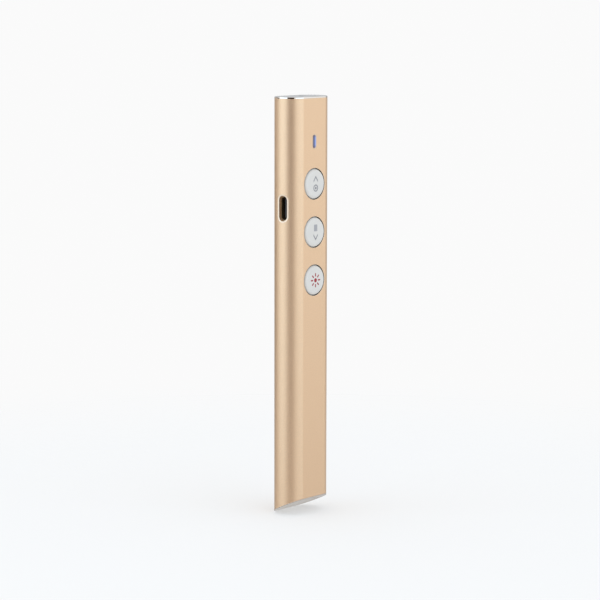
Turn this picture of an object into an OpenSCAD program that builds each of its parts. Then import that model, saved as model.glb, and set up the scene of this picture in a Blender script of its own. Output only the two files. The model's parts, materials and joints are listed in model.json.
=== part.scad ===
// Wireless presentation clicker in a slim extruded body.
// Z runs up the body, the front face looks along -Y and the charging port along -X.
// The origin lies under the tube's axis, level with the tip of the slanted end.

/* [Body tube] */
// Overall length from the slanted tip to the top of the cap
overall_len = 150; // [147:1:170]
// Width from side to side
body_w = 22; // [21.5:0.25:24]
// Thickness from front to back
body_t = 12.6; // [12.3:0.1:14]
// Width of the flat front and back faces between their creases
flat_w = 12.1; // [11.6:0.1:13]
// Wall of the extruded tube
wall = 1; // [0.8:0.05:1.1]
// Slant of the lower end, in degrees from square
end_angle = 24.5; // [14:0.5:28]
// Height of the guide ribs that run down inside the tube
rib_h = 0.6; // [0.4:0.1:0.8]
// Thickness of the guide ribs
rib_t = 0.8; // [0.6:0.1:1.2]
// Distance of the guide ribs behind the tube's axis
rib_y = 2.4; // [2:0.1:2.8]
// Edge break round the button holes
edge_break = 0.15; // [0.05:0.05:0.25]

/* [Fits] */
// Gap round the spigots of the two end caps
spigot_gap = 0.05; // [0.03:0.01:0.08]
// Gap between the chassis and the inside of the tube
chassis_gap = 0.12; // [0.08:0.02:0.2]
// Gap round a part that slides or is pushed home by hand
slide_gap = 0.1; // [0.06:0.01:0.15]
// Gap round a part that is glued or pressed into its seat
seat_gap = 0.02; // [0.01:0.01:0.04]

/* [Buttons] */
// Diameter of a button hole in the front face
button_hole_d = 11.2; // [10:0.1:11.8]
// Gap between a button and its hole
button_gap = 0.3; // [0.15:0.05:0.4]
// Height of a button above the front face
button_proud = 0.58; // [0.3:0.02:0.9]
// Width of the rounded edge of a button
button_edge = 1.05; // [0.7:0.05:1.2]
// Distance between neighbouring buttons
button_pitch = 17.2; // [16.6:0.1:18]
// Distance of the first button below the top of the tube
button_from_top = 30.3; // [29.5:0.1:32]
// Length of the retaining flange along the body
flange_len = 13.8; // [13:0.1:14]
// Width of the retaining flange across the body
flange_w = 12.2; // [11.9:0.1:12.3]
// Thickness of the retaining flange
flange_t = 0.55; // [0.45:0.05:0.6]
// Gap between the flange and the inside of the front wall
flange_gap = 0.15; // [0.12:0.01:0.2]
// Travel of a button
button_travel = 0.25; // [0.15:0.05:0.3]
// Diameter of the stem that presses the switch
stem_d = 3; // [2.4:0.1:3.4]
// Moulded wall of a button
button_wall = 0.9; // [0.7:0.05:1.1]

/* [Status light] */
// Distance of the light below the top of the tube
light_from_top = 15.3; // [14.5:0.1:16]
// Length of the slot
light_slot_len = 4.6; // [3.6:0.1:5.4]
// Width of the slot
light_slot_w = 1.5; // [1.2:0.05:1.8]
// Rim of the light guide behind the wall
light_rim = 0.7; // [0.4:0.05:0.9]

/* [Charging port] */
// Distance of the port below the top of the tube
port_from_top = 38.7; // [37.5:0.1:40]
// Width of the receptacle shell
port_shell_w = 8.94; // [8.94:0.01:8.94]
// Height of the receptacle shell
port_shell_h = 3.26; // [3.26:0.01:3.26]
// Depth of the receptacle shell
port_shell_len = 7.05; // [6.5:0.05:7.6]
// Sheet thickness of the receptacle shell
port_shell_t = 0.3; // [0.2:0.02:0.34]
// Gap between the receptacle shell and the opening in the tube
port_gap = 0.05; // [0.05:0.01:0.15]
// Distance of the shell's mouth in from the side of the body
port_recess = 1.1; // [0.4:0.05:1.2]

/* [Power switch] */
// Length of the sliding knob
knob_len = 4; // [3.4:0.1:4.6]
// Width of the sliding knob
knob_w = 2; // [1.8:0.1:2.2]
// Travel of the knob between off and on
knob_travel = 2; // [1.5:0.1:2.2]
// Length of the switch body
slider_body_len = 6.7; // [6.3:0.1:7.2]
// Width of the switch body across the board
slider_body_w = 2.7; // [2.4:0.1:2.9]
// Height of the switch body off the board
slider_body_h = 1.4; // [1.3:0.05:1.6]

/* [Circuit board] */
// Space between the inside of the front wall and the board
board_space = 2.2; // [2.1:0.05:2.3]
// Thickness of the circuit board
board_t = 0.8; // [0.6:0.1:1]
// Length of board above the status light
board_over_light = 3.2; // [2.6:0.1:3.4]
// Side of a push switch
push_side = 4.2; // [3.8:0.1:4.4]
// Height of a push switch without its plunger
push_h = 0.55; // [0.45:0.05:0.6]
// Diameter of a push switch's plunger
plunger_d = 2; // [1.6:0.1:2.2]
// Thread diameter of the small screws
screw_d = 1.4; // [1.2:0.1:1.6]
// Head diameter of the small screws
screw_head_d = 2.3; // [2:0.1:2.5]
// Head height of the small screws
screw_head_h = 0.55; // [0.4:0.05:0.6]

/* [Laser] */
// Outer diameter of the laser barrel
barrel_d = 6; // [5.8:0.1:6.4]
// Length of the laser barrel
barrel_len = 9.6; // [9:0.1:10]
// Base diameter of the laser diode
diode_d = 5; // [4.8:0.1:5.2]
// Diameter of the collimating lens
lens_d = 4.2; // [3.9:0.1:4.3]
// Diameter of the aperture in the top cap
aperture_d = 3; // [2:0.1:3.6]
// Diameter of the clear window behind the aperture
window_d = 5; // [4.4:0.1:5.4]
// Thickness of the clear window
window_t = 0.9; // [0.6:0.1:1]

/* [Top cap] */
// Thickness of the plate that shows above the tube
cap_plate_t = 0.6; // [0.5:0.05:1]
// Chamfer round the plate
cap_chamfer = 0.2; // [0.1:0.05:0.3]
// Depth of the spigot inside the tube
cap_spigot_len = 4.9; // [4.6:0.1:5.4]
// Wall of the spigot
cap_spigot_wall = 1.2; // [1:0.1:1.4]
// Distance of the snap fingers from the axis
snap_x = 7.2; // [7:0.1:7.4]
// Width of a snap finger
snap_w = 3; // [2.4:0.2:3.6]
// Overhang of a snap hook
snap_catch = 0.4; // [0.3:0.05:0.45]

/* [Battery] */
// Thickness of the cell
battery_t = 6.8; // [5:0.1:7]
// Room between the cell and the side rails
cell_gap = 0.48; // [0.3:0.02:1.2]
// Edge radius of the cell
battery_r = 1.6; // [1:0.1:2]
// Thickness of the foam pad behind the cell
foam_t = 0.6; // [0.4:0.1:1]
// Diameter of a battery lead
lead_d = 0.9; // [0.7:0.1:1.1]

/* [Chassis] */
// Thickness of the spine along the back of the tube
spine_t = 1.1; // [0.9:0.1:1.2]
// Thickness of the side rails
rail_t = 1.6; // [1.3:0.1:1.8]
// Thickness of the bulkheads
bulkhead_t = 1; // [0.8:0.1:1.2]
// Wall round the screw bosses
boss_wall = 1.1; // [0.9:0.1:1.3]
// Height of the foot that the end cap is screwed to
foot_h = 6; // [4.4:0.2:12]

/* [Lower end] */
// Thickness of the slanted plate that shows below the tube
end_plate_t = 0.35; // [0.3:0.05:0.8]
// Thickness of the plate's web inside the tube
end_web_t = 0.8; // [0.7:0.1:1.4]
// Height of the spigot inside the tube
end_spigot_len = 6; // [5:0.25:7]
// Wall of the spigot
end_spigot_wall = 1.2; // [1:0.1:1.3]
// Wall of the receiver's bay
bay_wall = 1.2; // [1:0.1:1.3]
// Thickness of the bay's roof, which holds the magnets
bay_roof_t = 2.8; // [2.6:0.1:3.2]
// Width of the notch where a fingernail pulls the receiver out
notch_w = 7; // [5:0.5:9]
// Radius of that notch
notch_r = 1.7; // [1.2:0.1:2]
// Distance of the notch's axis in front of the grip and inside the plate
notch_inset = 0.6; // [0.4:0.1:0.9]
// Diameter of the magnets that hold the receiver
magnet_d = 3; // [2:0.1:3.2]
// Thickness of the magnets
magnet_t = 1.5; // [1:0.1:1.8]
// Thread diameter of the screw that holds the end cap
end_screw_d = 1.6; // [1.4:0.1:2]
// Head diameter of that screw
end_screw_head_d = 2.8; // [2.4:0.1:3.2]
// Head height of that screw
end_screw_head_h = 0.9; // [0.7:0.1:1]

/* [Receiver] */
// Width of the plug shell
plug_w = 12; // [12:0.1:12]
// Thickness of the plug shell
plug_h = 4.5; // [4.5:0.1:4.5]
// Length of plug shell that enters a socket
plug_len = 11.8; // [11.75:0.05:12.4]
// Sheet thickness of the plug shell
plug_t = 0.3; // [0.2:0.05:0.35]
// Width of the grip
grip_w = 15; // [14:0.2:15.4]
// Thickness of the grip
grip_h = 6; // [5.6:0.1:6.2]
// Corner radius of the grip
grip_r = 1.8; // [1:0.1:2.4]
// Height of the grip's shoulder above the tip of the body
grip_top = 9.5; // [9:0.1:11]
// Depth of the grip's end below the slanted plate
grip_recess = 0.1; // [0.05:0.05:0.3]

/* [Hidden] */
$fn = 96;
// How far cutters run past the faces that they open
cut = 1;
// Room left between neighbours that don't touch
clearance = 0.3;

// Outline of the tube: flat front and back faces, and sides that are arcs
side_bulge = (body_w - flat_w) / 2;
half_t = body_t / 2;
side_r = (pow(side_bulge, 2) + pow(half_t, 2)) / (2 * side_bulge);
side_x = body_w / 2 - side_r;
function half_width(y, inset) = side_x + sqrt(pow(side_r - inset, 2) - pow(y, 2));

// Heights above the tip
tube_top = overall_len - cap_plate_t;
button_z = [for (i = [0:2]) tube_top - button_from_top - i * button_pitch];
light_z = tube_top - light_from_top;
port_z = tube_top - port_from_top;
screw_z = [for (i = [0:1]) (button_z[i] + button_z[i + 1]) / 2];

// Depths behind the front face
flange_depth = wall + flange_gap;
flange_back = flange_depth + flange_t;
board_depth = wall + board_space;
push_depth = board_depth - push_h;
plunger_depth = push_depth - button_travel;
frame_depth = flange_back + 2 * button_travel;
frame_front_depth = flange_depth + flange_t / 2;

// Status light: the clear guide's foot and the light under it
guide_foot_h = 0.15;
guide_foot_d = light_slot_w + 2 * light_rim - 0.8;
led_depth = frame_depth + guide_foot_h + 0.05;

// Circuit board
board_back_y = board_depth + board_t - half_t;
board_front_y = board_depth - half_t;
board_top = light_z + board_over_light;
inner_inset = wall + chassis_gap;
board_bottom = button_z[2] - flange_len / 2 - clearance;
board_w = 2 * (half_width(board_front_y, inner_inset) - clearance);

// Screws, measured from their pilot holes' mouths
screw_hole_d = screw_d + 2 * slide_gap;
screw_reach = 4;
end_screw_reach = 3.6;
screw_tip_gap = 0.2;

// Chassis
spine_y = half_t - inner_inset - spine_t;
rail_x = half_width(0, inner_inset) - rail_t;
boss_r = screw_d / 2 + boss_wall;

// Top cap: its spigot, and the snap fingers that hook under the top bulkhead
spigot_inset = wall + spigot_gap;
cap_spigot_z = tube_top - cap_spigot_len;
bulkhead_z = cap_spigot_z - bulkhead_t;
snap_t = 1;
snap_catch_h = 1.1;

// Laser
aperture_len = cap_plate_t + 0.3;
window_z = overall_len - aperture_len - window_t;
barrel_top = window_z - slide_gap;
barrel_z = barrel_top - barrel_len;
lens_ledge = 0.2;
barrel_bore_d = lens_d - 2 * lens_ledge;
lens_depth = 3.2;
lens_z = barrel_top - lens_depth;
lens_t = 1.3;
diode_base_t = 1.2;

// Power switch
slider_z = port_z;
slider_y = board_back_y + slider_body_h / 2;
nub_len = 1.3;
nub_h = 0.9;
nub_reach = 1.2;
nub_sink = 0.7;
nub_gap = 0.15;
knob_lip = 1.4;
knob_lip_w = knob_w + 0.4;
knob_lip_t = 0.55;
knob_recess = 0.05;
knob_lip_y = slider_y - knob_lip_w / 2;
knob_inner_x = half_width(knob_lip_y, wall) - knob_lip_t - slide_gap;
knob_outer_x = body_w / 2 - knob_recess;
slider_x = knob_inner_x - nub_gap;
knob_half_run = knob_len / 2 + knob_lip + knob_travel;

// Charging port
port_y = board_back_y + port_shell_h / 2;
port_mouth_x = -body_w / 2 + port_recess;
tongue_w = 6.7;
tongue_t = 0.7;
tongue_recess = 0.9;

// Lower end and receiver
plug_top = grip_top + plug_len;
bay_top = plug_top + clearance;
dock_top = bay_top + bay_roof_t;
magnet_x = 4.2;
magnet_skin = 0.5;
magnet_z = bay_top + magnet_skin;
end_head_sink = 0.1;
shell_tail = 3;
plug_board_t = 0.8;
plug_tongue_t = 1.9;
plug_inner_w = plug_w - 2 * plug_t - 2 * slide_gap;
plug_inner_y = plug_h / 2 - plug_t - seat_gap;
outer_contact_x = 3.5;
outer_contact_len = 7.4;
inner_contact_x = 1;
inner_contact_len = 6.4;
contact_w = 1;
contact_t = 0.15;
contact_recess = 1.2;

// Parts on the back of the board, set out from the lower screw boss
chip_z = screw_z[1] + boss_r + 0.7;
chip_x = rail_x / 2;
radio_side = 5;
charger_side = 3;
crystal_w = 3.2;
crystal_h = 2.5;
antenna_w = 1.6;
antenna_h = 5;

// Battery, between the circuit board and the chassis's foot
cell_guard_t = bulkhead_t;
cell_guard_z = board_bottom - cell_guard_t - clearance;
guard_board_t = 0.8;
guard_board_gap = 0.4;
guard_board_z = cell_guard_z - clearance - guard_board_t;
battery_top = guard_board_z - guard_board_gap;
foot_top = dock_top + foot_h;
battery_z = foot_top + clearance;
battery_w = 2 * (rail_x - cell_gap);
battery_back_y = spine_y - foam_t;
battery_y = battery_back_y - battery_t / 2;

// Battery leads
lead_x = 1.6;
lead_y = battery_y + lead_d;

// Webs that join the rails to the spine, clear of the cell's round edges
web_x = battery_w / 2 - battery_r / 4;
web_y = battery_back_y - battery_r / 6;

// ---- shapes shared by several parts ----

// A slot outline with round ends, long in x
module slot_outline(len, w) {
    square([len - w, w], center = true);
    for (side = [-1, 1])
        translate([side * (len - w) / 2, 0])
            circle(d = w);
}

// A rectangle with round corners
module round_rect(w, h, r) {
    square([w - 2 * r, h], center = true);
    square([w, h - 2 * r], center = true);
    for (x = [-1, 1], y = [-1, 1])
        translate([x * (w / 2 - r), y * (h / 2 - r)])
            circle(r = r);
}

// A block given by its lowest and highest corners
module block(low, high) {
    translate(low)
        cube(high - low);
}

// The slab between the flat faces, with its top edges chamfered
module face_slab(h, inset, chamfer) {
    y = half_t - inset;
    rotate([90, 0, 90])
        translate([0, 0, -body_w])
            linear_extrude(2 * body_w)
                polygon([[-y, 0], [y, 0], [y, h - chamfer], [y - chamfer, h],
                         [chamfer - y, h], [-y, h - chamfer]]);
}

// One rounded side of the tube's outline
module side_cylinder(h, inset, chamfer) {
    r = side_r - inset;
    cylinder(h = h - chamfer, r = r);
    if (chamfer > 0)
        translate([0, 0, h - chamfer])
            cylinder(h = chamfer, r1 = r, r2 = r - chamfer);
}

// A prism with the tube's outline drawn inwards by inset
module body_prism(z0, z1, inset = 0, chamfer = 0) {
    h = z1 - z0;
    translate([0, 0, z0])
        intersection() {
            face_slab(h, inset, chamfer);
            union() {
                translate([-side_x, -body_t, 0])
                    cube([2 * side_x, 2 * body_t, h]);
                for (side = [-1, 1])
                    translate([side * side_x, 0, 0])
                        side_cylinder(h, inset, chamfer);
            }
        }
}

// Everything below the slanted end plane, which is raised square to itself by lift
module below_slant(lift) {
    size = 4 * body_w;
    translate([0, half_t, 0])
        rotate([-end_angle, 0, 0])
            translate([-size / 2, -size / 2, lift - size])
                cube(size);
}

// Ribs inside both sides of the tube; gap makes the grooves that run over them
module guide_ribs(z0, z1, gap) {
    root = half_width(rib_y, wall);
    for (side = [-1, 1])
        on_side(side)
            block([root - rib_h - gap, rib_y - rib_t / 2 - gap, z0],
                  [root + wall / 2, rib_y + rib_t / 2 + gap, z1]);
}

// Draws its child on the right (1) or mirrored to the left (-1)
module on_side(side) {
    if (side > 0)
        children();
    else
        mirror([1, 0, 0])
            children();
}

// Places a child on the front face: its z points out of the face, its y up the body
module on_front(z, depth = 0) {
    translate([0, depth - half_t, z])
        rotate([90, 0, 0])
            children();
}

// Places a child on the left side: its z points out of the side, its x up the body
module on_left(x, y, z) {
    translate([x, y, z])
        rotate([0, -90, 0])
            children();
}

// Places a child on the right side: its z points out of the side, its x down the body
module on_right(x, y, z) {
    translate([x, y, z])
        rotate([0, 90, 0])
            children();
}

// ---- body tube and its caps ----

module button_hole() {
    r = button_hole_d / 2;
    translate([0, 0, -wall - cut])
        cylinder(h = wall + 2 * cut, r = r);
    translate([0, 0, -edge_break])
        cylinder(h = 2 * edge_break, r1 = r, r2 = r + 2 * edge_break);
}

module light_slot() {
    translate([0, 0, -wall - cut])
        linear_extrude(wall + 2 * cut)
            rotate(90)
                slot_outline(light_slot_len, light_slot_w);
}

module port_opening(depth) {
    on_left(-body_w / 2 + depth, port_y, port_z)
        linear_extrude(depth + cut)
            slot_outline(port_shell_w + 2 * port_gap, port_shell_h + 2 * port_gap);
}

module knob_slot(depth) {
    on_right(body_w / 2 - depth, slider_y, slider_z - knob_travel / 2)
        linear_extrude(depth + cut)
            slot_outline(knob_len + knob_travel + 2 * slide_gap, knob_w + 2 * slide_gap);
}

module body_tube() {
    side_depth = body_w / 2 - half_width(knob_lip_y, wall) + cut / 2;
    color("burlywood")
        difference() {
            union() {
                difference() {
                    body_prism(0, tube_top);
                    body_prism(-cut, tube_top + cut, wall);
                }
                guide_ribs(0, tube_top, 0);
            }
            below_slant(end_plate_t);
            for (z = button_z)
                on_front(z)
                    button_hole();
            on_front(light_z)
                light_slot();
            port_opening(side_depth);
            knob_slot(side_depth);
        }
}

module snap_finger() {
    outer_x = snap_x + snap_t / 2;
    catch_z = bulkhead_z - slide_gap;
    block([snap_x - snap_t / 2, -snap_w / 2, catch_z - snap_catch_h], [outer_x, snap_w / 2, tube_top]);
    translate([0, snap_w / 2, 0])
        rotate([90, 0, 0])
            linear_extrude(snap_w)
                polygon([[outer_x, catch_z], [outer_x + snap_catch, catch_z],
                         [outer_x, catch_z - snap_catch_h]]);
}

module top_cap() {
    roof_z = window_z - cap_spigot_wall / 3;
    boss_z = cap_spigot_z + slide_gap;
    color("silver")
        difference() {
            union() {
                body_prism(tube_top, overall_len, 0, cap_chamfer);
                difference() {
                    body_prism(cap_spigot_z, tube_top, spigot_inset);
                    body_prism(cap_spigot_z - cut, roof_z, spigot_inset + cap_spigot_wall);
                }
                translate([0, 0, boss_z])
                    cylinder(h = tube_top - boss_z, d = barrel_d + 2 * cap_spigot_wall);
                for (side = [-1, 1])
                    on_side(side)
                        snap_finger();
            }
            translate([0, 0, cap_spigot_z - cut])
                cylinder(h = window_z - cap_spigot_z + cut, d = barrel_d + 2 * slide_gap);
            translate([0, 0, window_z - cut])
                cylinder(h = window_t + cut, d = window_d + 2 * seat_gap);
            translate([0, 0, window_z])
                cylinder(h = overall_len, d = aperture_d);
            translate([0, 0, overall_len - cap_chamfer])
                cylinder(h = 2 * cap_chamfer, d1 = aperture_d, d2 = aperture_d + 4 * cap_chamfer);
            guide_ribs(cap_spigot_z - cut, tube_top, slide_gap);
        }
}

// ---- laser ----

module laser_window() {
    color("lightcyan")
        translate([0, 0, window_z])
            cylinder(h = window_t, d = window_d);
}

module laser_barrel() {
    color("goldenrod")
        translate([0, 0, barrel_z])
            difference() {
                cylinder(h = barrel_len, d = barrel_d);
                translate([0, 0, -cut])
                    cylinder(h = barrel_len + 2 * cut, d = barrel_bore_d);
                translate([0, 0, lens_z - barrel_z])
                    cylinder(h = barrel_len, d = lens_d + slide_gap);
                translate([0, 0, -cut])
                    cylinder(h = diode_base_t + cut, d = diode_d + 2 * seat_gap);
                for (i = [0:3])
                    translate([0, 0, diode_base_t + 1 + i])
                        glue_groove();
            }
}

// A shallow ring cut round the barrel, which the glue in the cradle grips
module glue_groove() {
    groove_w = 0.3;
    groove_depth = 0.15;
    rotate_extrude()
        translate([barrel_d / 2 - groove_depth, 0])
            square([cut, groove_w]);
}

module laser_diode() {
    pin_d = 0.45;
    pin_r = 0.9;
    pin_len = 2.6;
    can_h = 2.3;
    color("silver") {
        translate([0, 0, barrel_z])
            cylinder(h = diode_base_t, d = diode_d);
        translate([0, 0, barrel_z + diode_base_t])
            cylinder(h = can_h, d = barrel_bore_d - clearance);
        for (a = [90, 210, 330])
            rotate(a)
                translate([pin_r, 0, barrel_z - pin_len])
                    cylinder(h = pin_len + diode_base_t / 2, d = pin_d);
    }
}

// A lens with two domed faces, cut from two spheres
module collimator_lens() {
    dome_r = 4.5;
    color("azure")
        translate([0, 0, lens_z])
            intersection() {
                cylinder(h = lens_t, d = lens_d);
                translate([0, 0, lens_t - dome_r])
                    sphere(r = dome_r);
                translate([0, 0, dome_r])
                    sphere(r = dome_r);
            }
}

// A threaded ring that clamps the lens, with a slot for the tool that turns it
module lens_ring() {
    ring_t = 1.1;
    ring_wall = 0.8;
    slot_w = 0.6;
    slot_depth = 0.4;
    color("dimgray")
        translate([0, 0, lens_z + lens_t + seat_gap])
            difference() {
                cylinder(h = ring_t, d = lens_d);
                translate([0, 0, -cut])
                    cylinder(h = ring_t + 2 * cut, d = lens_d - 2 * ring_wall);
                block([-lens_d, -slot_w / 2, ring_t - slot_depth], [lens_d, slot_w / 2, ring_t + cut]);
            }
}

// ---- chassis and what it carries ----

module screw_boss(z) {
    translate([0, board_back_y, z])
        rotate([-90, 0, 0])
            cylinder(h = spine_y - board_back_y + spine_t / 2, r = boss_r);
}

module chassis_frame() {
    far = body_w;
    top = cap_spigot_z;
    block([-far, spine_y, dock_top], [far, far, top]);
    for (side = [-1, 1])
        on_side(side) {
            block([rail_x, board_back_y, dock_top], [far, far, top]);
            block([web_x, web_y, dock_top], [far, far, top]);
        }
    block([-far, -far, bulkhead_z], [far, far, top]);
    block([-far, -far, dock_top], [far, far, foot_top]);
    block([-far, board_back_y, cell_guard_z], [far, far, cell_guard_z + cell_guard_t]);
    for (z = screw_z)
        screw_boss(z);
    laser_cradle();
}

module laser_cradle() {
    cradle_wall = 1.3;
    half = barrel_d / 2 + cradle_wall;
    block([-half, -half, board_top + clearance], [half, spine_y + spine_t / 2, bulkhead_z]);
}

module chassis_cuts() {
    far = body_w;
    snap_inner = snap_x - snap_t / 2 - slide_gap;
    snap_outer = snap_x + snap_t / 2 + slide_gap;
    snap_half = snap_w / 2 + slide_gap;
    notch_half = lead_x + lead_d;
    notch_y = lead_y + lead_d / 2 + clearance;
    port_half = port_shell_w / 2 + clearance;
    knob_half = knob_half_run + clearance;
    // bore for the barrel and clearance for the diode's pins
    translate([0, 0, barrel_z])
        cylinder(h = far, d = barrel_d + 2 * seat_gap);
    translate([0, 0, barrel_z - far])
        cylinder(h = far + cut, d = diode_d);
    // slots for the snap fingers of the top cap
    for (side = [-1, 1])
        on_side(side)
            block([snap_inner, -snap_half, bulkhead_z - cut], [snap_outer, snap_half, cap_spigot_z + cut]);
    // notch for the battery leads
    block([-notch_half, -far, cell_guard_z - cut],
          [notch_half, notch_y, cell_guard_z + cell_guard_t + cut]);
    // windows in the rails for the charging port and the power switch
    block([-far, -far, port_z - port_half],
          [port_mouth_x + port_shell_len + clearance, port_y + port_shell_h / 2 + clearance,
           port_z + port_half]);
    block([slider_x - slider_body_w - clearance, -far, slider_z - knob_half],
          [far, slider_y + knob_w, slider_z + knob_half]);
    // pilot holes for the screws, and grooves for the tube's ribs
    for (z = screw_z)
        translate([0, board_back_y - cut, z])
            rotate([-90, 0, 0])
                cylinder(h = screw_reach + cut, d = screw_d + 2 * seat_gap);
    translate([0, 0, dock_top - cut])
        cylinder(h = end_screw_reach + cut, d = end_screw_d + 2 * seat_gap);
    guide_ribs(0, overall_len, slide_gap);
}

module chassis() {
    color("dimgray")
        difference() {
            intersection() {
                body_prism(dock_top, cap_spigot_z, inner_inset);
                union()
                    chassis_frame();
            }
            chassis_cuts();
        }
}

// The outline of a button's flange, or of the well that it moves in
module flange_outline(gap) {
    intersection() {
        circle(d = flange_len + 2 * gap);
        square([flange_w + 2 * gap, flange_len + 2 * cut], center = true);
    }
}

module key_frame() {
    far = body_w;
    rim = light_rim + slide_gap;
    color("dimgray")
        difference() {
            intersection() {
                body_prism(board_bottom, board_top, inner_inset);
                block([-far, frame_front_depth - half_t, board_bottom], [far, board_front_y, board_top]);
            }
            for (z = button_z)
                on_front(z) {
                    translate([0, 0, -frame_depth])
                        linear_extrude(frame_depth)
                            flange_outline(slide_gap);
                    translate([0, 0, -board_depth - cut])
                        cylinder(h = board_depth, d = push_side * sqrt(2) + 4 * slide_gap);
                }
            for (z = screw_z)
                on_front(z) {
                    translate([0, 0, -frame_depth])
                        cylinder(h = frame_depth, d = screw_head_d + 2 * slide_gap);
                    translate([0, 0, -board_depth - cut])
                        cylinder(h = board_depth, d = screw_hole_d);
                }
            on_front(light_z) {
                translate([0, 0, -frame_depth])
                    linear_extrude(frame_depth)
                        rotate(90)
                            slot_outline(light_slot_len + 2 * rim, light_slot_w + 2 * rim);
                translate([0, 0, -board_depth - cut])
                    cylinder(h = board_depth, d = guide_foot_d + 2 * clearance);
            }
        }
}

module frame_screws() {
    tip_depth = board_depth + board_t + screw_reach - screw_tip_gap;
    color("silver")
        for (z = screw_z)
            on_front(z)
                difference() {
                    union() {
                        translate([0, 0, -frame_depth])
                            cylinder(h = screw_head_h, d = screw_head_d);
                        translate([0, 0, -tip_depth])
                            cylinder(h = tip_depth - frame_depth + screw_head_h / 2, d = screw_d);
                    }
                    cross_recess(-frame_depth + screw_head_h, screw_head_d);
                }
}

// The driver recess in a screw head whose top lies at z
module cross_recess(z, head_d) {
    arm = 0.6 * head_d;
    blade = 0.35;
    depth = 0.3;
    for (a = [0, 90])
        rotate(a)
            block([-arm / 2, -blade / 2, z - depth], [arm / 2, blade / 2, z + cut]);
}

module circuit_board() {
    color("darkgreen")
        difference() {
            block([-board_w / 2, board_front_y, board_bottom], [board_w / 2, board_back_y, board_top]);
            for (z = screw_z)
                on_front(z)
                    translate([0, 0, -board_depth - board_t - cut])
                        cylinder(h = board_t + 2 * cut, d = screw_hole_d);
            block([slider_x, board_front_y - cut, slider_z - knob_half_run],
                  [board_w, board_back_y + cut, slider_z + knob_half_run - knob_travel]);
        }
}

module push_switch(z) {
    floor_t = 0.1;
    color("silver")
        on_front(z)
            difference() {
                translate([-push_side / 2, -push_side / 2, -board_depth])
                    cube([push_side, push_side, push_h]);
                translate([0, 0, -board_depth + floor_t])
                    cylinder(h = push_h + cut, d = plunger_d + slide_gap);
            }
}

module plunger(z) {
    sink = 0.1;
    color("black")
        on_front(z)
            translate([0, 0, -push_depth - sink])
                cylinder(h = button_travel + sink, d = plunger_d);
}

// A button with a rounded edge, hollow behind, with a flange that the front wall retains
module button(z) {
    r = button_hole_d / 2 - button_gap;
    edge_r = (pow(button_edge, 2) + pow(button_proud, 2)) / (2 * button_proud);
    top_r = r - button_edge;
    hollow_top = button_proud - button_wall;
    color("whitesmoke")
        on_front(z) {
            difference() {
                union() {
                    rotate_extrude() {
                        translate([0, -flange_back])
                            square([r, flange_back]);
                        square([top_r, button_proud]);
                        intersection() {
                            translate([top_r, button_proud - edge_r])
                                circle(r = edge_r);
                            translate([top_r, 0])
                                square([button_edge, button_proud]);
                        }
                    }
                    translate([0, 0, -flange_back])
                        linear_extrude(flange_t)
                            flange_outline(0);
                }
                translate([0, 0, -flange_back - cut])
                    cylinder(h = flange_back + cut + hollow_top, r = r - button_wall);
            }
            translate([0, 0, -plunger_depth])
                cylinder(h = plunger_depth + hollow_top + button_wall / 2, d = stem_d);
        }
}

// A clear guide: a lens in the slot, a rim behind the wall and a foot over the light
module light_guide() {
    face_recess = 0.03;
    color("lightblue")
        on_front(light_z) {
            translate([0, 0, -flange_depth])
                linear_extrude(flange_depth - face_recess)
                    rotate(90)
                        slot_outline(light_slot_len - slide_gap, light_slot_w - slide_gap);
            translate([0, 0, -frame_depth])
                linear_extrude(frame_depth - flange_depth)
                    rotate(90)
                        slot_outline(light_slot_len + 2 * light_rim, light_slot_w + 2 * light_rim);
            translate([0, 0, -frame_depth - guide_foot_h])
                cylinder(h = guide_foot_h, d = guide_foot_d);
        }
}

module status_led() {
    led_w = 0.8;
    led_len = 1.6;
    color("royalblue")
        on_front(light_z)
            block([-led_w / 2, -led_len / 2, -board_depth], [led_w / 2, led_len / 2, -led_depth]);
}

// ---- charging port ----

module usb_c_shell() {
    color("silver")
        on_left(port_mouth_x + port_shell_len, port_y, port_z)
            difference() {
                linear_extrude(port_shell_len)
                    slot_outline(port_shell_w, port_shell_h);
                translate([0, 0, port_shell_t])
                    linear_extrude(port_shell_len)
                        slot_outline(port_shell_w - 2 * port_shell_t, port_shell_h - 2 * port_shell_t);
            }
}

module usb_c_tongue() {
    base_len = 0.6;
    tongue_len = port_shell_len - port_shell_t - tongue_recess;
    color("black")
        on_left(port_mouth_x + port_shell_len - port_shell_t, port_y, port_z) {
            linear_extrude(base_len)
                slot_outline(port_shell_w - 2 * port_shell_t - 2 * seat_gap,
                             port_shell_h - 2 * port_shell_t - 2 * seat_gap);
            block([-tongue_w / 2, -tongue_t / 2, 0], [tongue_w / 2, tongue_t / 2, tongue_len]);
        }
}

// Twelve contact strips on each face of the tongue
module usb_c_contacts() {
    pitch = 0.5;
    strip_w = 0.25;
    strip_t = 0.05;
    strip_len = 3.6;
    base_len = 0.7;
    color("gold")
        on_left(port_mouth_x + port_shell_len - port_shell_t, port_y, port_z)
            for (i = [0:11], side = [-1, 1])
                translate([(i - 5.5) * pitch, side * (tongue_t + strip_t) / 2, base_len + strip_len / 2])
                    cube([strip_w, strip_t, strip_len], center = true);
}

// ---- power switch ----

module slide_switch_body() {
    slot_half_h = nub_h / 2 + slide_gap;
    slot_half_len = nub_len / 2 + slide_gap;
    middle_z = slider_z - knob_travel / 2;
    color("silver")
        difference() {
            block([slider_x - slider_body_w, board_back_y, middle_z - slider_body_len / 2],
                  [slider_x, board_back_y + slider_body_h, middle_z + slider_body_len / 2]);
            block([slider_x - nub_sink - slide_gap, slider_y - slot_half_h,
                   slider_z - knob_travel - slot_half_len],
                  [slider_x + cut, slider_y + slot_half_h, slider_z + slot_half_len]);
        }
}

module slide_switch_nub() {
    color("black")
        block([slider_x - nub_sink, slider_y - nub_h / 2, slider_z - nub_len / 2],
              [slider_x + nub_reach, slider_y + nub_h / 2, slider_z + nub_len / 2]);
}

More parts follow.
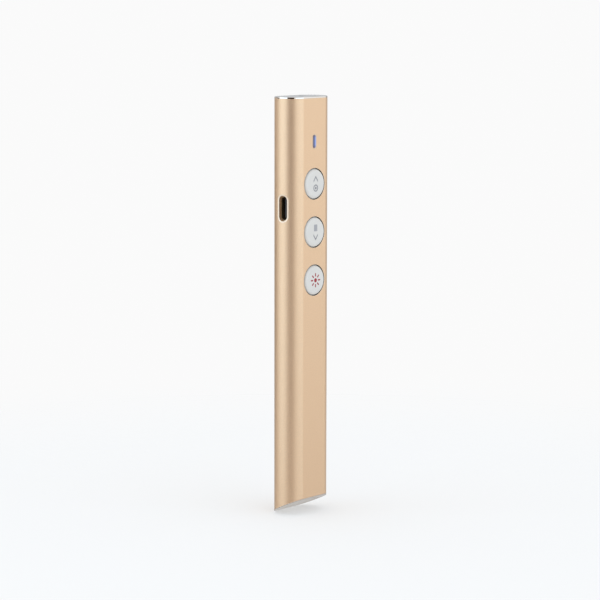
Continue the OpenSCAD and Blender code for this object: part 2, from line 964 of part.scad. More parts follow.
module power_knob() {
    pocket_gap = 0.05;
    pocket_half_h = nub_h / 2 + pocket_gap;
    pocket_half_len = nub_len / 2 + pocket_gap;
    groove_w = 0.35;
    groove_depth = 0.15;
    color("burlywood")
        difference() {
            union() {
                on_right(knob_inner_x, slider_y, slider_z)
                    linear_extrude(knob_lip_t)
                        slot_outline(knob_len + 2 * knob_lip, knob_lip_w);
                on_right(knob_inner_x, slider_y, slider_z)
                    linear_extrude(knob_outer_x - knob_inner_x)
                        slot_outline(knob_len, knob_w);
            }
            block([knob_inner_x - cut, slider_y - pocket_half_h, slider_z - pocket_half_len],
                  [slider_x + nub_reach + pocket_gap, slider_y + pocket_half_h,
                   slider_z + pocket_half_len]);
            for (i = [-1:1])
                translate([knob_outer_x, slider_y, slider_z + i])
                    cube([2 * groove_depth, body_t / 2, groove_w], center = true);
        }
}

// ---- parts on the back of the circuit board ----

// Places a child on the back of the board: its z points out of the back
module on_board_back(x, z) {
    translate([x, board_back_y, z])
        rotate([-90, 0, 0])
            children();
}

module chip(w, h, t) {
    translate([-w / 2, -h / 2, 0])
        cube([w, h, t]);
}

module radio_chip() {
    color("black")
        on_board_back(-chip_x, chip_z + radio_side / 2)
            chip(radio_side, radio_side, t = 0.85);
}

module charger_chip() {
    color("black")
        on_board_back(chip_x, chip_z + charger_side / 2)
            chip(charger_side, charger_side, t = 1);
}

module crystal() {
    color("silver")
        on_board_back(chip_x, chip_z + charger_side + clearance + crystal_h / 2)
            chip(crystal_w, crystal_h, t = 0.7);
}

module chip_antenna() {
    color("white")
        on_board_back(rail_x - clearance - antenna_w / 2, light_z)
            chip(antenna_w, antenna_h, t = 1.1);
}

// Resistors and capacitors in two short rows
module small_parts() {
    pitch = 1.7;
    row_pitch = 2.2;
    part_w = 0.8;
    part_h = 1.6;
    color("tan")
        for (i = [0:3], row = [1, 2])
            on_board_back((i - 1.5) * pitch, screw_z[1] - boss_r - row * row_pitch)
                chip(part_w, part_h, t = 0.6);
}

// ---- battery ----

module battery_cell() {
    color("lightsteelblue")
        translate([0, battery_y, battery_z])
            linear_extrude(battery_top - battery_z)
                round_rect(battery_w, battery_t, battery_r);
}

module battery_tabs() {
    tab_x = 3.5;
    tab_w = 2;
    tab_t = 0.2;
    color("silver")
        for (side = [-1, 1])
            translate([side * tab_x, battery_y, (battery_top + guard_board_z) / 2])
                cube([tab_w, tab_t, guard_board_gap], center = true);
}

module cell_guard_board() {
    edge = 1;
    half_h = 1.8;
    color("darkgreen")
        block([edge - battery_w / 2, battery_y - half_h, guard_board_z],
              [battery_w / 2 - edge, battery_y + half_h, guard_board_z + guard_board_t]);
}

// A lead that rises from the guard board and turns in to the back of the circuit board
module lead(x) {
    start_z = guard_board_z + guard_board_t;
    bend_r = 1.4;
    pad_rise = 2.2;
    top_z = board_bottom + pad_rise;
    translate([x, lead_y, start_z])
        cylinder(h = top_z - bend_r - start_z, d = lead_d);
    translate([x, lead_y - bend_r, top_z - bend_r])
        rotate([0, -90, 0])
            rotate_extrude(angle = 90)
                translate([bend_r, 0])
                    circle(d = lead_d);
    translate([x, board_back_y, top_z])
        rotate([-90, 0, 0])
            cylinder(h = lead_y - bend_r - board_back_y, d = lead_d);
}

module lead_red() {
    color("red")
        lead(-lead_x);
}

module lead_black() {
    color("black")
        lead(lead_x);
}

module foam_pad() {
    margin = 4;
    color("gray")
        block([-battery_w / 2 + 2 * battery_r, battery_back_y, battery_z + margin],
              [battery_w / 2 - 2 * battery_r, spine_y, battery_top - margin]);
}

// ---- lower end ----

// The space for the receiver; gap is the clearance round it
module receiver_space(gap) {
    translate([0, 0, -cut])
        linear_extrude(grip_top + gap + cut)
            round_rect(grip_w + 2 * gap, grip_h + 2 * gap, grip_r);
    translate([0, 0, grip_top - cut])
        linear_extrude(bay_top - grip_top + cut)
            square([plug_w + 2 * gap, plug_h + 2 * gap], center = true);
}

// The walls round that space
module bay_box() {
    grow = slide_gap + bay_wall;
    grip_half = [grip_w / 2 + grow, grip_h / 2 + grow];
    plug_half = [plug_w / 2 + grow, plug_h / 2 + grow];
    block([-grip_half[0], -grip_half[1], 0], [grip_half[0], grip_half[1], grip_top + bay_wall]);
    block([-plug_half[0], -plug_half[1], 0], [plug_half[0], plug_half[1], dock_top]);
}

// Material between the slanted plane raised by low and the same plane raised by high
module slanted_layer(low, high, inset) {
    difference() {
        body_prism(0, dock_top, inset);
        below_slant(low);
        above_slant(high);
    }
}

module above_slant(lift) {
    size = 4 * body_w;
    translate([0, half_t, 0])
        rotate([-end_angle, 0, 0])
            translate([-size / 2, -size / 2, lift])
                cube(size);
}

// A notch in front of the grip, where a fingernail pulls the receiver out
module nail_notch() {
    centre_y = -(half_t + grip_h / 2 + notch_inset) / cos(end_angle);
    translate([0, half_t, 0])
        rotate([-end_angle, 0, 0])
            translate([-notch_w / 2, centre_y, -notch_inset])
                rotate([0, 90, 0])
                    cylinder(h = notch_w, r = notch_r);
}

module end_cap() {
    skirt_top = end_plate_t + end_web_t + end_spigot_len;
    color("silver")
        difference() {
            union() {
                slanted_layer(0, end_plate_t, 0);
                slanted_layer(end_plate_t, end_plate_t + end_web_t, spigot_inset);
                difference() {
                    slanted_layer(end_plate_t, skirt_top, spigot_inset);
                    body_prism(-cut, dock_top + cut, spigot_inset + end_spigot_wall);
                }
                intersection() {
                    body_prism(0, dock_top, spigot_inset);
                    difference() {
                        bay_box();
                        below_slant(end_plate_t);
                    }
                }
            }
            receiver_space(slide_gap);
            nail_notch();
            translate([0, 0, bay_top - cut])
                cylinder(h = end_head_sink + end_screw_head_h + cut, d = end_screw_head_d + 2 * slide_gap);
            translate([0, 0, bay_top])
                cylinder(h = dock_top, d = end_screw_d + 2 * slide_gap);
            for (side = [-1, 1])
                translate([side * magnet_x, 0, magnet_z])
                    cylinder(h = dock_top, d = magnet_d + 2 * seat_gap);
            difference() {
                guide_ribs(0, dock_top, slide_gap);
                below_slant(end_plate_t);
            }
        }
}

module end_screw() {
    head_z = bay_top + end_head_sink;
    color("silver")
        translate([0, 0, head_z])
            difference() {
                union() {
                    cylinder(h = end_screw_head_h, d = end_screw_head_d);
                    cylinder(h = dock_top - head_z + end_screw_reach - screw_tip_gap, d = end_screw_d);
                }
                mirror([0, 0, 1])
                    cross_recess(0, end_screw_head_d);
            }
}

module dock_magnets() {
    color("lightgray")
        for (side = [-1, 1])
            translate([side * magnet_x, 0, magnet_z])
                cylinder(h = magnet_t, d = magnet_d);
}

// ---- receiver ----

module receiver_grip() {
    color("silver")
        difference() {
            linear_extrude(grip_top)
                round_rect(grip_w, grip_h, grip_r);
            below_slant(grip_recess);
            translate([0, 0, grip_top - shell_tail])
                linear_extrude(shell_tail + cut)
                    square([plug_w + 2 * seat_gap, plug_h + 2 * seat_gap], center = true);
        }
}

// A folded sheet tube with two square windows through its broad faces
module receiver_shell() {
    hole = 2.2;
    hole_x = 2.9;
    hole_depth = 5.1;
    len = plug_len + shell_tail;
    color("silver")
        translate([0, 0, grip_top - shell_tail])
            difference() {
                linear_extrude(len)
                    square([plug_w, plug_h], center = true);
                translate([0, 0, -cut])
                    linear_extrude(len + 2 * cut)
                        square([plug_w - 2 * plug_t, plug_h - 2 * plug_t], center = true);
                for (side = [-1, 1])
                    translate([side * hole_x, 0, len - hole_depth])
                        cube([hole, 2 * plug_h, hole], center = true);
            }
}

module receiver_board() {
    color("darkgreen")
        block([-plug_inner_w / 2, plug_inner_y - plug_board_t, grip_top - shell_tail],
              [plug_inner_w / 2, plug_inner_y, grip_top]);
}

module receiver_tongue() {
    recess = 0.3;
    color("black")
        block([-plug_inner_w / 2, plug_inner_y - plug_tongue_t, grip_top],
              [plug_inner_w / 2, plug_inner_y, plug_top - recess]);
}

module plug_contact(x, len) {
    y = plug_inner_y - plug_tongue_t;
    top = plug_top - contact_recess;
    block([x - contact_w / 2, y - contact_t, top - len], [x + contact_w / 2, y, top]);
}

// The plug's four contacts; the outer two are longer, so that they connect first
module receiver_contacts() {
    color("gold")
        for (side = [-1, 1]) {
            plug_contact(side * outer_contact_x, outer_contact_len);
            plug_contact(side * inner_contact_x, inner_contact_len);
        }
}

body_tube();
top_cap();
laser_window();
laser_barrel();
laser_diode();
collimator_lens();
lens_ring();
chassis();
key_frame();
frame_screws();
circuit_board();
push_switch(button_z[0]);  // push_switch_top
push_switch(button_z[1]);  // push_switch_middle
push_switch(button_z[2]);  // push_switch_bottom
plunger(button_z[0]);  // plunger_top
plunger(button_z[1]);  // plunger_middle
plunger(button_z[2]);  // plunger_bottom
button(button_z[0]);  // button_top
button(button_z[1]);  // button_middle
button(button_z[2]);  // button_bottom
light_guide();
status_led();
usb_c_shell();
usb_c_tongue();
usb_c_contacts();
slide_switch_body();
slide_switch_nub();
power_knob();
radio_chip();
charger_chip();
crystal();
chip_antenna();
small_parts();
battery_cell();
battery_tabs();
cell_guard_board();
lead_red();
lead_black();
foam_pad();
end_cap();
end_screw();
dock_magnets();
receiver_grip();
receiver_shell();
receiver_board();
receiver_tongue();
receiver_contacts();
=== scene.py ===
"""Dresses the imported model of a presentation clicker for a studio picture."""

import json
import math

import bmesh
import bpy
from bpy.props import FloatProperty, FloatVectorProperty, IntProperty, PointerProperty
from mathutils import Matrix, Vector


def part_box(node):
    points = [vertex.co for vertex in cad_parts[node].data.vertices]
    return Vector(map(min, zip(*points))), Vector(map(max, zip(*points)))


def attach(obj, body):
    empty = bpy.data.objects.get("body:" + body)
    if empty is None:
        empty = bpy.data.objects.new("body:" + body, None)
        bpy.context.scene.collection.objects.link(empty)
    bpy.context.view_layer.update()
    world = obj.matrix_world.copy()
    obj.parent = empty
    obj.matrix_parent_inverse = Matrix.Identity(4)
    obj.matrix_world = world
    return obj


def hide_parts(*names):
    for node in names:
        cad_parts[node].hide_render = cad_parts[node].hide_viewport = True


bl_info = {
    "name": "Presentation Clicker",
    "version": (1, 0, 0),
    "blender": (4, 5, 0),
    "location": "View3D > Sidebar > Clicker",
    "description": "Adds the detailed outer pieces, finishes and studio of a presentation clicker",
    "category": "Object",
}

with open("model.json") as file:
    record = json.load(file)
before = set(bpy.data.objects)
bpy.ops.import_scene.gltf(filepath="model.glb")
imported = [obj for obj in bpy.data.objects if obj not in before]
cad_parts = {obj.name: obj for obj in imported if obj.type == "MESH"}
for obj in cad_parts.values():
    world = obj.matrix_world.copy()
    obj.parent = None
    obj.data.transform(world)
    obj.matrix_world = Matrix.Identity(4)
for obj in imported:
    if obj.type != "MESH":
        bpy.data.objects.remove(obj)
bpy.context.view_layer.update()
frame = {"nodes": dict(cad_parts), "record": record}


def middle_of(node):
    """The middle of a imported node's box."""
    low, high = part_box(node)
    return (low + high) / 2


TUBE_LOW, TUBE_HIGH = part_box("body_tube")
CAP_LOW, CAP_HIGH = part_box("top_cap")
WINDOW_LOW, WINDOW_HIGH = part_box("laser_window")
STEM_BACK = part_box("button_top")[1].y
KEYS = ("top", "middle", "bottom")
KEY_HEIGHTS = [middle_of("button_" + key).z for key in KEYS]
LIGHT_HEIGHT = middle_of("light_guide").z
PORT_PLACE = middle_of("usb_c_shell")
KNOB_PLACE = middle_of("power_knob")

RIGHT_ANGLE = math.radians(90)
# How far a cutter runs past the face that it opens
PAST = 0.001
# How far two solids that are joined run into each other
LAP = 0.0001
# Vertices nearer than this are one
SAME_PLACE = 0.00001
# Vertices that a cut has doubled are nearer than this
SAME_CUT = 0.0000005
# A face faces along an axis if its normal's part along that axis is more than this
FACING = 0.9

# Openings in the tube, length and width, and the facets of each round end
SLOT_STEPS = 32
LIGHT_SLOT = (0.0046, 0.0015)
PORT_OPENING = (0.00904, 0.00336)
KNOB_SLOT = (0.0062, 0.0022)
# Half of the power knob's travel, by which its slot lies lower than the knob
KNOB_DROP = 0.001
# Where the ribs inside the tube start, above its lowest tip
RIB_FOOT = 0.0005

# The top cap below its plate: a spigot in the tube, a boss for the laser, and snap fingers with hooks
SPIGOT_DEPTH = 0.0049
SPIGOT_WALL = 0.0012
SPIGOT_ROOF = 0.0004
SPIGOT_GAP = 0.00005
BOSS_RADIUS = 0.0042
BARREL_BORE = 0.0031
WINDOW_SEAT = 0.00252
APERTURE = 0.0015
APERTURE_RIM = 0.0019
RIM_DEPTH = 0.0002
FINGER_PLACE = 0.0072
FINGER_THICKNESS = 0.001
FINGER_WIDTH = 0.003
HOOK_PLACE = 0.0079
HOOK_THICKNESS = 0.0004
HOOK_HEIGHT = 0.0011
# How far a hook's lower edge is drawn in, so that it slides into place
HOOK_LEAD = 0.00039

# A button's flange below the front face, and the facets of the button's rounded edge and stem
FLANGE_GAP = 0.00015
FLANGE_RADIUS = 0.0069
FLANGE_HALF_WIDTH = 0.0061
EDGE_STEPS = 10
STEM_STEPS = 48
# Reaches past all of a button
ALL_OVER = 0.01

# Printed marks: how deep they are set in, their facets, and their sizes and heights on the button
MARK_DEPTH = 0.00004
RING_STEPS = 48
DOT_STEPS = 32
RAY_STEPS = 12
ARROW_WEIGHT = 1.7
ARROW_HALF_WIDTH = 0.00118
NEXT_ARROW = (0.00058, 0.00290)
PREVIOUS_ARROW = (-0.00062, -0.00294)
RING_RADIUS = 0.00128
RING_DOT = 0.00048
RING_HEIGHT = -0.00147
SCREEN_HALF_WIDTH = 0.0009
SCREEN_SPAN = (0.00034, 0.00274)
SCREEN_CORNER = 0.0002
BEAM_DOT = 0.00075
BEAM_RAY = (0.00125, 0.00052)
BEAM_RAY_PLACE = 0.00195
BEAM_RAYS = 8

# Glow of the status light: its left side, its middle, its right side and its ends. The dull left side and
# the dull ends are painted shade, and the bright right side is a painted highlight where the slot's wall
# catches the glow
LIGHT_PAINTED_SHADE = (0.15, 0.145, 0.195)
LIGHT_MIDDLE = (0.10, 0.155, 0.40)
LIGHT_PAINTED_HIGHLIGHT = (0.29, 0.40, 0.86)
LIGHT_END_PAINTED_SHADE = (0.11, 0.085, 0.11)
# Where across the light one of these turns into the next
SHADE_TO_MIDDLE = (-0.0005, -0.0001)
MIDDLE_TO_HIGHLIGHT = (0.0001, 0.0006)
# Where along the light the painted shade at its ends starts, as shares of half its length
LOWER_END_SHADE = 0.5
UPPER_END_SHADE = 0.6

# The tube's finishes, in the order of its material slots; the third, on the walls of the button holes, is a
# near-black gold that paints shade into the gap round each button
TUBE_FINISHES = ("gold_anodised", "gold_cut_edge", "gold_bore_painted_shade")

# Curved screens that only reflections see: bearings in degrees, distance, lowest and highest point,
# colour. Bearing 0 is in front of the buttons, and bearings grow towards the object's +x side.
# Flags darken a stretch of the body; bands are low and show in the top cap's polished edge.
SCREENS = {
    "flag_front": ((-83, -41), 1.6, (-1.2, 1.6), (0.17, 0.065, 0.035)),
    "flag_left": ((-205, -163), 1.6, (-0.3, 1.6), (0.13, 0.10, 0.08)),
    "flag_edge": ((-235, -203), 1.35, (-0.33, 0.15), (0.03, 0.015, 0.01)),
    "flag_right": ((77, 126), 1.6, (-0.3, 1.6), (0.4, 0.38, 0.36)),
    "flag_top": ((100, 160), 1.4, (0.155, 1.0), (0.57, 0.57, 0.57)),
    "flag_low": ((-180, 180), 1.5, (-1.4, -0.22), (0.54, 0.51, 0.48)),
    "band_back": ((-205, -163), 1.4, (0.03, 0.3), (0.60, 0.52, 0.46)),
    "band_corner": ((-163, -142), 1.4, (0.03, 0.2), (0.05, 0.035, 0.03)),
    "band_left": ((-142, -83), 1.4, (0.03, 0.13), (0.82, 0.72, 0.58)),
    "band_dark": ((-83, -41), 1.4, (0.03, 0.4), (0.0, 0.0, 0.0)),
    "band_front": ((-41, 77), 1.4, (0.03, 0.13), (0.75, 0.65, 0.52)),
}
SCREEN_STEPS = 24
CEILING_RADIUS = 1.2
CEILING_HEIGHT = 1.7

# Both soft boxes stand at this distance and height and are this tall; bearing and width of each
LAMP_DISTANCE = 1.5
LAMP_HEIGHT = 0.42
LAMP_TALL = 1.5
LAMP_LEFT = (-114, 1.5)
LAMP_RIGHT = (2, 1.9)
# Height on the object that they point at
LAMP_AIM = 0.07


class ClickerSizes(bpy.types.PropertyGroup):
    """Sizes of the outer pieces"""

    body_width: FloatProperty(
        name="Body width", description="From side to side",
        default=TUBE_HIGH.x - TUBE_LOW.x, unit="LENGTH")
    body_thickness: FloatProperty(
        name="Body thickness", description="From the front face to the back face",
        default=TUBE_HIGH.y - TUBE_LOW.y, unit="LENGTH")
    flat_width: FloatProperty(
        name="Flat width", description="Width of the front and back faces between their creases",
        default=0.0121, unit="LENGTH")
    wall: FloatProperty(
        name="Wall", description="Wall of the tube", default=0.001, unit="LENGTH")
    end_slant: FloatProperty(
        name="End slant", description="Slant of the lower end",
        default=math.radians(24.5), subtype="ANGLE")
    end_plate: FloatProperty(
        name="End plate", description="Thickness of the slanted plate", default=0.00035, unit="LENGTH")
    rib_height: FloatProperty(
        name="Rib height", description="Height of the ribs inside the tube", default=0.0006, unit="LENGTH")
    rib_width: FloatProperty(
        name="Rib width", description="Width of those ribs", default=0.0008, unit="LENGTH")
    rib_place: FloatProperty(
        name="Rib place", description="Distance of those ribs behind the axis",
        default=0.0024, unit="LENGTH")
    edge_break: FloatProperty(
        name="Edge break", description="Bright bevel round the button holes",
        default=0.00008, unit="LENGTH")
    port_bevel: FloatProperty(
        name="Port bevel", description="Width of the bright bevel round the charging port",
        default=0.0005, unit="LENGTH")
    port_bevel_depth: FloatProperty(
        name="Port bevel depth", description="Depth of that bevel", default=0.00016, unit="LENGTH")
    light_bevel: FloatProperty(
        name="Light bevel", description="Bright bevel round the status light",
        default=0.0003, unit="LENGTH")
    rim_bevel: FloatProperty(
        name="Rim bevel", description="Bevel of the tube's ends", default=0.00006, unit="LENGTH")
    cap_bevel: FloatProperty(
        name="Cap bevel", description="Rounded edge of the top plate", default=0.00025, unit="LENGTH")
    button_hole: FloatProperty(
        name="Button hole", description="Diameter of a button hole", default=0.0112, unit="LENGTH")
    button_gap: FloatProperty(
        name="Button gap", description="Gap between a button and its hole", default=0.0003, unit="LENGTH")
    button_proud: FloatProperty(
        name="Button height", description="Height of a button above the front face",
        default=0.00056, unit="LENGTH")
    button_edge: FloatProperty(
        name="Button edge", description="Width of a button's rounded edge", default=0.0012, unit="LENGTH")
    button_sunk: FloatProperty(
        name="Button rim depth", description="Depth at which that edge starts, below the front face",
        default=0.00035, unit="LENGTH")
    button_wall: FloatProperty(
        name="Button wall", description="Moulded wall of a button", default=0.0009, unit="LENGTH")
    flange_thickness: FloatProperty(
        name="Flange thickness", description="Thickness of a button's flange",
        default=0.00055, unit="LENGTH")
    stem: FloatProperty(
        name="Stem", description="Diameter of the stem behind a button", default=0.003, unit="LENGTH")
    print_thickness: FloatProperty(
        name="Print thickness", description="How far a printed mark stands up",
        default=0.000012, unit="LENGTH")
    mark_stroke: FloatProperty(
        name="Mark stroke", description="Width of a stroke of the printed marks",
        default=0.00042, unit="LENGTH")
    side_steps: IntProperty(
        name="Side steps", description="Facets of each rounded side", default=96, min=24)
    round_steps: IntProperty(
        name="Round steps", description="Facets of a round hole or button", default=128, min=24)


class ClickerColours(bpy.types.PropertyGroup):
    """Colours of the finishes"""

    gold: FloatVectorProperty(
        name="Gold", description="Anodised tube", subtype="COLOR", size=3, default=(0.905, 0.646, 0.424))
    gold_bright: FloatVectorProperty(
        name="Bright gold", description="Cut edges of the tube", subtype="COLOR", size=3,
        default=(0.88, 0.72, 0.57))
    chrome: FloatVectorProperty(
        name="Chrome", description="Plated end pieces", subtype="COLOR", size=3, default=(0.89, 0.86, 0.83))
    button: FloatVectorProperty(
        name="Button", description="Moulded buttons", subtype="COLOR", size=3,
        default=(0.675, 0.658, 0.628))
    ink: FloatVectorProperty(
        name="Ink", description="Grey printed marks", subtype="COLOR", size=3, default=(0.26, 0.26, 0.28))
    pale_ink: FloatVectorProperty(
        name="Pale ink", description="Printed screen", subtype="COLOR", size=3, default=(0.36, 0.36, 0.38))
    red_ink: FloatVectorProperty(
        name="Red ink", description="Printed mark of the laser button", subtype="COLOR", size=3,
        default=(0.34, 0.025, 0.035))
    backdrop: FloatVectorProperty(
        name="Backdrop", description="Pale surroundings", subtype="COLOR", size=3,
        default=(0.958, 0.958, 0.958))


class ClickerStage(bpy.types.PropertyGroup):
    """The studio"""

    key_strength: FloatProperty(
        name="Left light", description="Power of the left soft box", default=5.0, subtype="POWER")
    fill_strength: FloatProperty(
        name="Right light", description="Power of the right soft box", default=4.4, subtype="POWER")
    lamp_colour: FloatVectorProperty(
        name="Light colour", description="Colour of both soft boxes", subtype="COLOR", size=3,
        default=(0.64, 1.0, 1.32))
    ambient: FloatProperty(
        name="Ambient", description="Strength of the light from all round", default=0.95)
    ceiling_colour: FloatVectorProperty(
        name="Ceiling", description="Grey screen overhead", subtype="COLOR", size=3,
        default=(0.4, 0.4, 0.4))
    floor_colour: FloatVectorProperty(
        name="Floor", description="Pale matt floor", subtype="COLOR", size=3, default=(0.93, 0.93, 0.93))
    floor_radius: FloatProperty(
        name="Floor radius", description="Radius of the floor", default=0.4, unit="LENGTH")
    floor_glow: FloatProperty(
        name="Floor glow", description="Share of the backdrop's colour in the floor", default=0.3,
        subtype="FACTOR")
    fade_start: FloatProperty(
        name="Fade start", description="Where the floor starts to fade out", default=0.12, unit="LENGTH")
    fade_end: FloatProperty(
        name="Fade end", description="Where the floor has faded out", default=0.32, unit="LENGTH")
    camera_place: FloatVectorProperty(
        name="Camera place", description="Where the camera stands", subtype="TRANSLATION", size=3,
        default=(-0.65367, -0.54970, 0.1904))
    camera_aim: FloatVectorProperty(
        name="Camera aim", description="Point that the camera looks at", subtype="TRANSLATION", size=3,
        default=(-0.00017, 0.0002, 0.0770))
    camera_lens: FloatProperty(
        name="Lens", description="Focal length in millimetres", default=144.15)
    camera_roll: FloatProperty(
        name="Roll", description="Turn about the line of sight", default=math.radians(0.1), subtype="ANGLE")


# ---- modelling by hand, in code ----


def select_only(piece):
    """Selects this object alone and makes it active."""
    bpy.ops.object.select_all(action="DESELECT")
    piece.select_set(True)
    bpy.context.view_layer.objects.active = piece


class Editing:
    """Edit mode on one object, with nothing selected at the start."""

    def __init__(self, piece, kind):
        self.piece = piece
        self.kind = kind

    def __enter__(self):
        select_only(self.piece)
        bpy.ops.object.mode_set(mode="EDIT")
        bpy.ops.mesh.select_mode(type=self.kind)
        bpy.ops.mesh.select_all(action="DESELECT")
        return self

    def __exit__(self, *problem):
        bpy.ops.object.mode_set(mode="OBJECT")

    def pick(self, test):
        """Selects the vertices, edges or faces for which test is true."""
        bpy.ops.mesh.select_all(action="DESELECT")
        mesh = bmesh.from_edit_mesh(self.piece.data)
        parts = {"VERT": mesh.verts, "EDGE": mesh.edges, "FACE": mesh.faces}[self.kind]
        found = [part for part in parts if test(part)]
        for part in found:
            part.select_set(True)
        mesh.select_flush_mode()
        bmesh.update_edit_mesh(self.piece.data)
        if not found:
            raise RuntimeError(f"nothing to select on {self.piece.name}")


def middle(part):
    """The middle of an edge or face."""
    return sum((vertex.co for vertex in part.verts), Vector()) / len(part.verts)


def face_outwards():
    """Selects everything in edit mode and turns its normals outwards."""
    bpy.ops.mesh.select_all(action="SELECT")
    bpy.ops.mesh.normals_make_consistent(inside=False)


def named(name):
    """Names the object that a primitive operator has just added."""
    piece = bpy.context.object
    piece.name = piece.data.name = name
    return piece


def place(piece, matrix):
    """Moves a piece and puts its place into its mesh."""
    select_only(piece)
    piece.matrix_world = matrix @ piece.matrix_world
    bpy.ops.object.transform_apply(location=True, rotation=True, scale=True)


def add_block(name, low, high):
    """A cuboid between two corners."""
    low, high = Vector(low), Vector(high)
    bpy.ops.mesh.primitive_cube_add(size=1, location=(low + high) / 2)
    piece = named(name)
    piece.scale = high - low
    place(piece, Matrix.Identity(4))
    return piece


def add_round(name, radius, low, high, steps, top_radius=None):
    """A cylinder or cone frustum that stands on z = low."""
    bpy.ops.mesh.primitive_cone_add(
        vertices=steps, radius1=radius, radius2=radius if top_radius is None else top_radius,
        depth=high - low, location=(0, 0, (low + high) / 2))
    piece = named(name)
    place(piece, Matrix.Identity(4))
    return piece


def side_arc(sizes):
    """Centre and radius of the right-hand arc of the tube's outline; the left one mirrors it."""
    half = sizes.body_thickness / 2
    bulge = (sizes.body_width - sizes.flat_width) / 2
    radius = (bulge ** 2 + half ** 2) / (2 * bulge)
    return sizes.body_width / 2 - radius, radius


def side_surface(sizes, y):
    """Distance of the rounded side from the middle plane, at depth y."""
    centre, radius = side_arc(sizes)
    return centre + math.sqrt(radius ** 2 - y ** 2)


def add_loop(name, centre, reach, half, low, steps):
    """A closed loop at z = low: two straight edges at y = half and -half, and an arc at each end.

    The arcs turn about x = centre and -centre, and the straight edges end at reach beyond those.
    """
    bpy.ops.mesh.primitive_plane_add(size=1, location=(0, 0, low))
    piece = named(name)
    piece.scale = (2 * (centre + reach), 2 * half, 1)
    place(piece, Matrix.Identity(4))
    with Editing(piece, "EDGE") as edit:
        edit.pick(lambda edge: abs(middle(edge).x) > SAME_PLACE)
        bpy.ops.mesh.delete(type="EDGE")
    with Editing(piece, "VERT") as edit:
        for side in (1, -1):
            edit.pick(lambda vertex: abs(vertex.co.x - side * (centre + reach)) < SAME_PLACE
                      and abs(vertex.co.y + side * half) < SAME_PLACE)
            bpy.ops.mesh.spin(steps=steps, angle=-2 * math.atan2(half, reach),
                              center=(side * centre, 0, low), axis=(0, 0, 1))
        bpy.ops.mesh.select_all(action="SELECT")
        bpy.ops.mesh.remove_doubles(threshold=SAME_PLACE)
    return piece


def add_outline(name, sizes, low, high, inset=0.0):
    """A solid with the tube's outline, drawn inwards by inset: two flats and two arcs."""
    centre, radius = side_arc(sizes)
    half = sizes.body_thickness / 2 - inset
    reach = math.sqrt((radius - inset) ** 2 - half ** 2)
    piece = add_loop(name, centre, reach, half, low, sizes.side_steps)
    with Editing(piece, "VERT"):
        bpy.ops.mesh.select_all(action="SELECT")
        bpy.ops.mesh.edge_face_add()
        bpy.ops.mesh.extrude_region_move(TRANSFORM_OT_translate={"value": (0, 0, high - low)})
        face_outwards()
    return piece


def add_slot(name, length, width, low, high, steps=SLOT_STEPS):
    """A solid with round ends, long in x, that stands on z = low; its faces are strips along x."""
    centre = (length - width) / 2
    piece = add_loop(name, centre, 0, width / 2, low, steps)
    with Editing(piece, "EDGE") as edit:
        edit.pick(lambda edge: abs(middle(edge).x) > centre)
        bpy.ops.mesh.bridge_edge_loops()
        bpy.ops.mesh.select_all(action="SELECT")
        bpy.ops.mesh.extrude_region_move(TRANSFORM_OT_translate={"value": (0, 0, high - low)})
        face_outwards()
    return piece


def leave_finish(tool, finish):
    """Chooses the finish of the faces that a tool cuts into the tube."""
    for face in tool.data.polygons:
        face.material_index = TUBE_FINISHES.index(finish)


def add_countersink(name, length, width, bevel, depth):
    """A tool for the rim of a round-ended opening: the opening's size below the face, wider above it."""
    tool = add_slot(name, length + 4 * bevel, width + 4 * bevel, depth, depth + PAST)
    with Editing(tool, "FACE") as edit:
        edit.pick(lambda face: face.normal.z < -FACING)
        bpy.ops.mesh.inset(thickness=2 * bevel, depth=2 * depth)
    leave_finish(tool, "gold_cut_edge")
    return tool


def carve(piece, tool, operation="DIFFERENCE"):
    """Cuts a tool solid out of a piece, or joins the two, and removes the tool."""
    select_only(piece)
    bpy.ops.object.modifier_add(type="BOOLEAN")
    modifier = piece.modifiers[-1]
    modifier.operation = operation
    modifier.solver = "EXACT"
    modifier.object = tool
    bpy.ops.object.modifier_apply(modifier=modifier.name)
    bpy.data.objects.remove(tool)
    with Editing(piece, "VERT"):
        bpy.ops.mesh.select_all(action="SELECT")
        bpy.ops.mesh.remove_doubles(threshold=SAME_CUT)
    if not piece.data.polygons:
        raise RuntimeError(f"{piece.name} was cut away")


def slant_plane(sizes, lift):
    """A point on the slanted end plane raised by lift, and its upward normal."""
    normal = Vector((0, math.sin(sizes.end_slant), math.cos(sizes.end_slant)))
    return Vector((0, sizes.body_thickness / 2, 0)) + normal * lift, normal


def cut_slant(piece, sizes, lift):
    """Keeps what lies above the slanted end plane raised by lift."""
    point, normal = slant_plane(sizes, lift)
    with Editing(piece, "FACE"):
        bpy.ops.mesh.select_all(action="SELECT")
        bpy.ops.mesh.bisect(plane_co=point, plane_no=normal, use_fill=True, clear_inner=True)
        face_outwards()


def smooth(piece, degrees):
    """Smooth shading over edges that turn less than this."""
    select_only(piece)
    bpy.ops.object.shade_smooth_by_angle(angle=math.radians(degrees))


def on_front(sizes, height, depth=0.0):
    """Places a solid on the front face: its z points out of the face, its y up the body."""
    return Matrix.Translation((0, depth - sizes.body_thickness / 2, height)) @ Matrix.Rotation(
        RIGHT_ANGLE, 4, "X")


QUARTER_TURN = Matrix.Rotation(RIGHT_ANGLE, 4, "Z")


def coat(piece, *finishes):
    """Gives a piece these finishes, in the order of its material slots."""
    piece.data.materials.clear()
    for finish in finishes:
        piece.data.materials.append(FINISHES[finish])


# ---- finishes ----


def feed(links, value, socket):
    """Links a value to a socket, or sets the socket to a colour or number."""
    if isinstance(value, bpy.types.NodeSocket):
        links.new(value, socket)
    else:
        socket.default_value = (*value, 1) if socket.type == "RGBA" else value


def reckon(tree, operation, first, second):
    """A number worked out from two others."""
    node = tree.nodes.new("ShaderNodeMath")
    node.operation = operation
    feed(tree.links, first, node.inputs[0])
    feed(tree.links, second, node.inputs[1])
    return node.outputs[0]


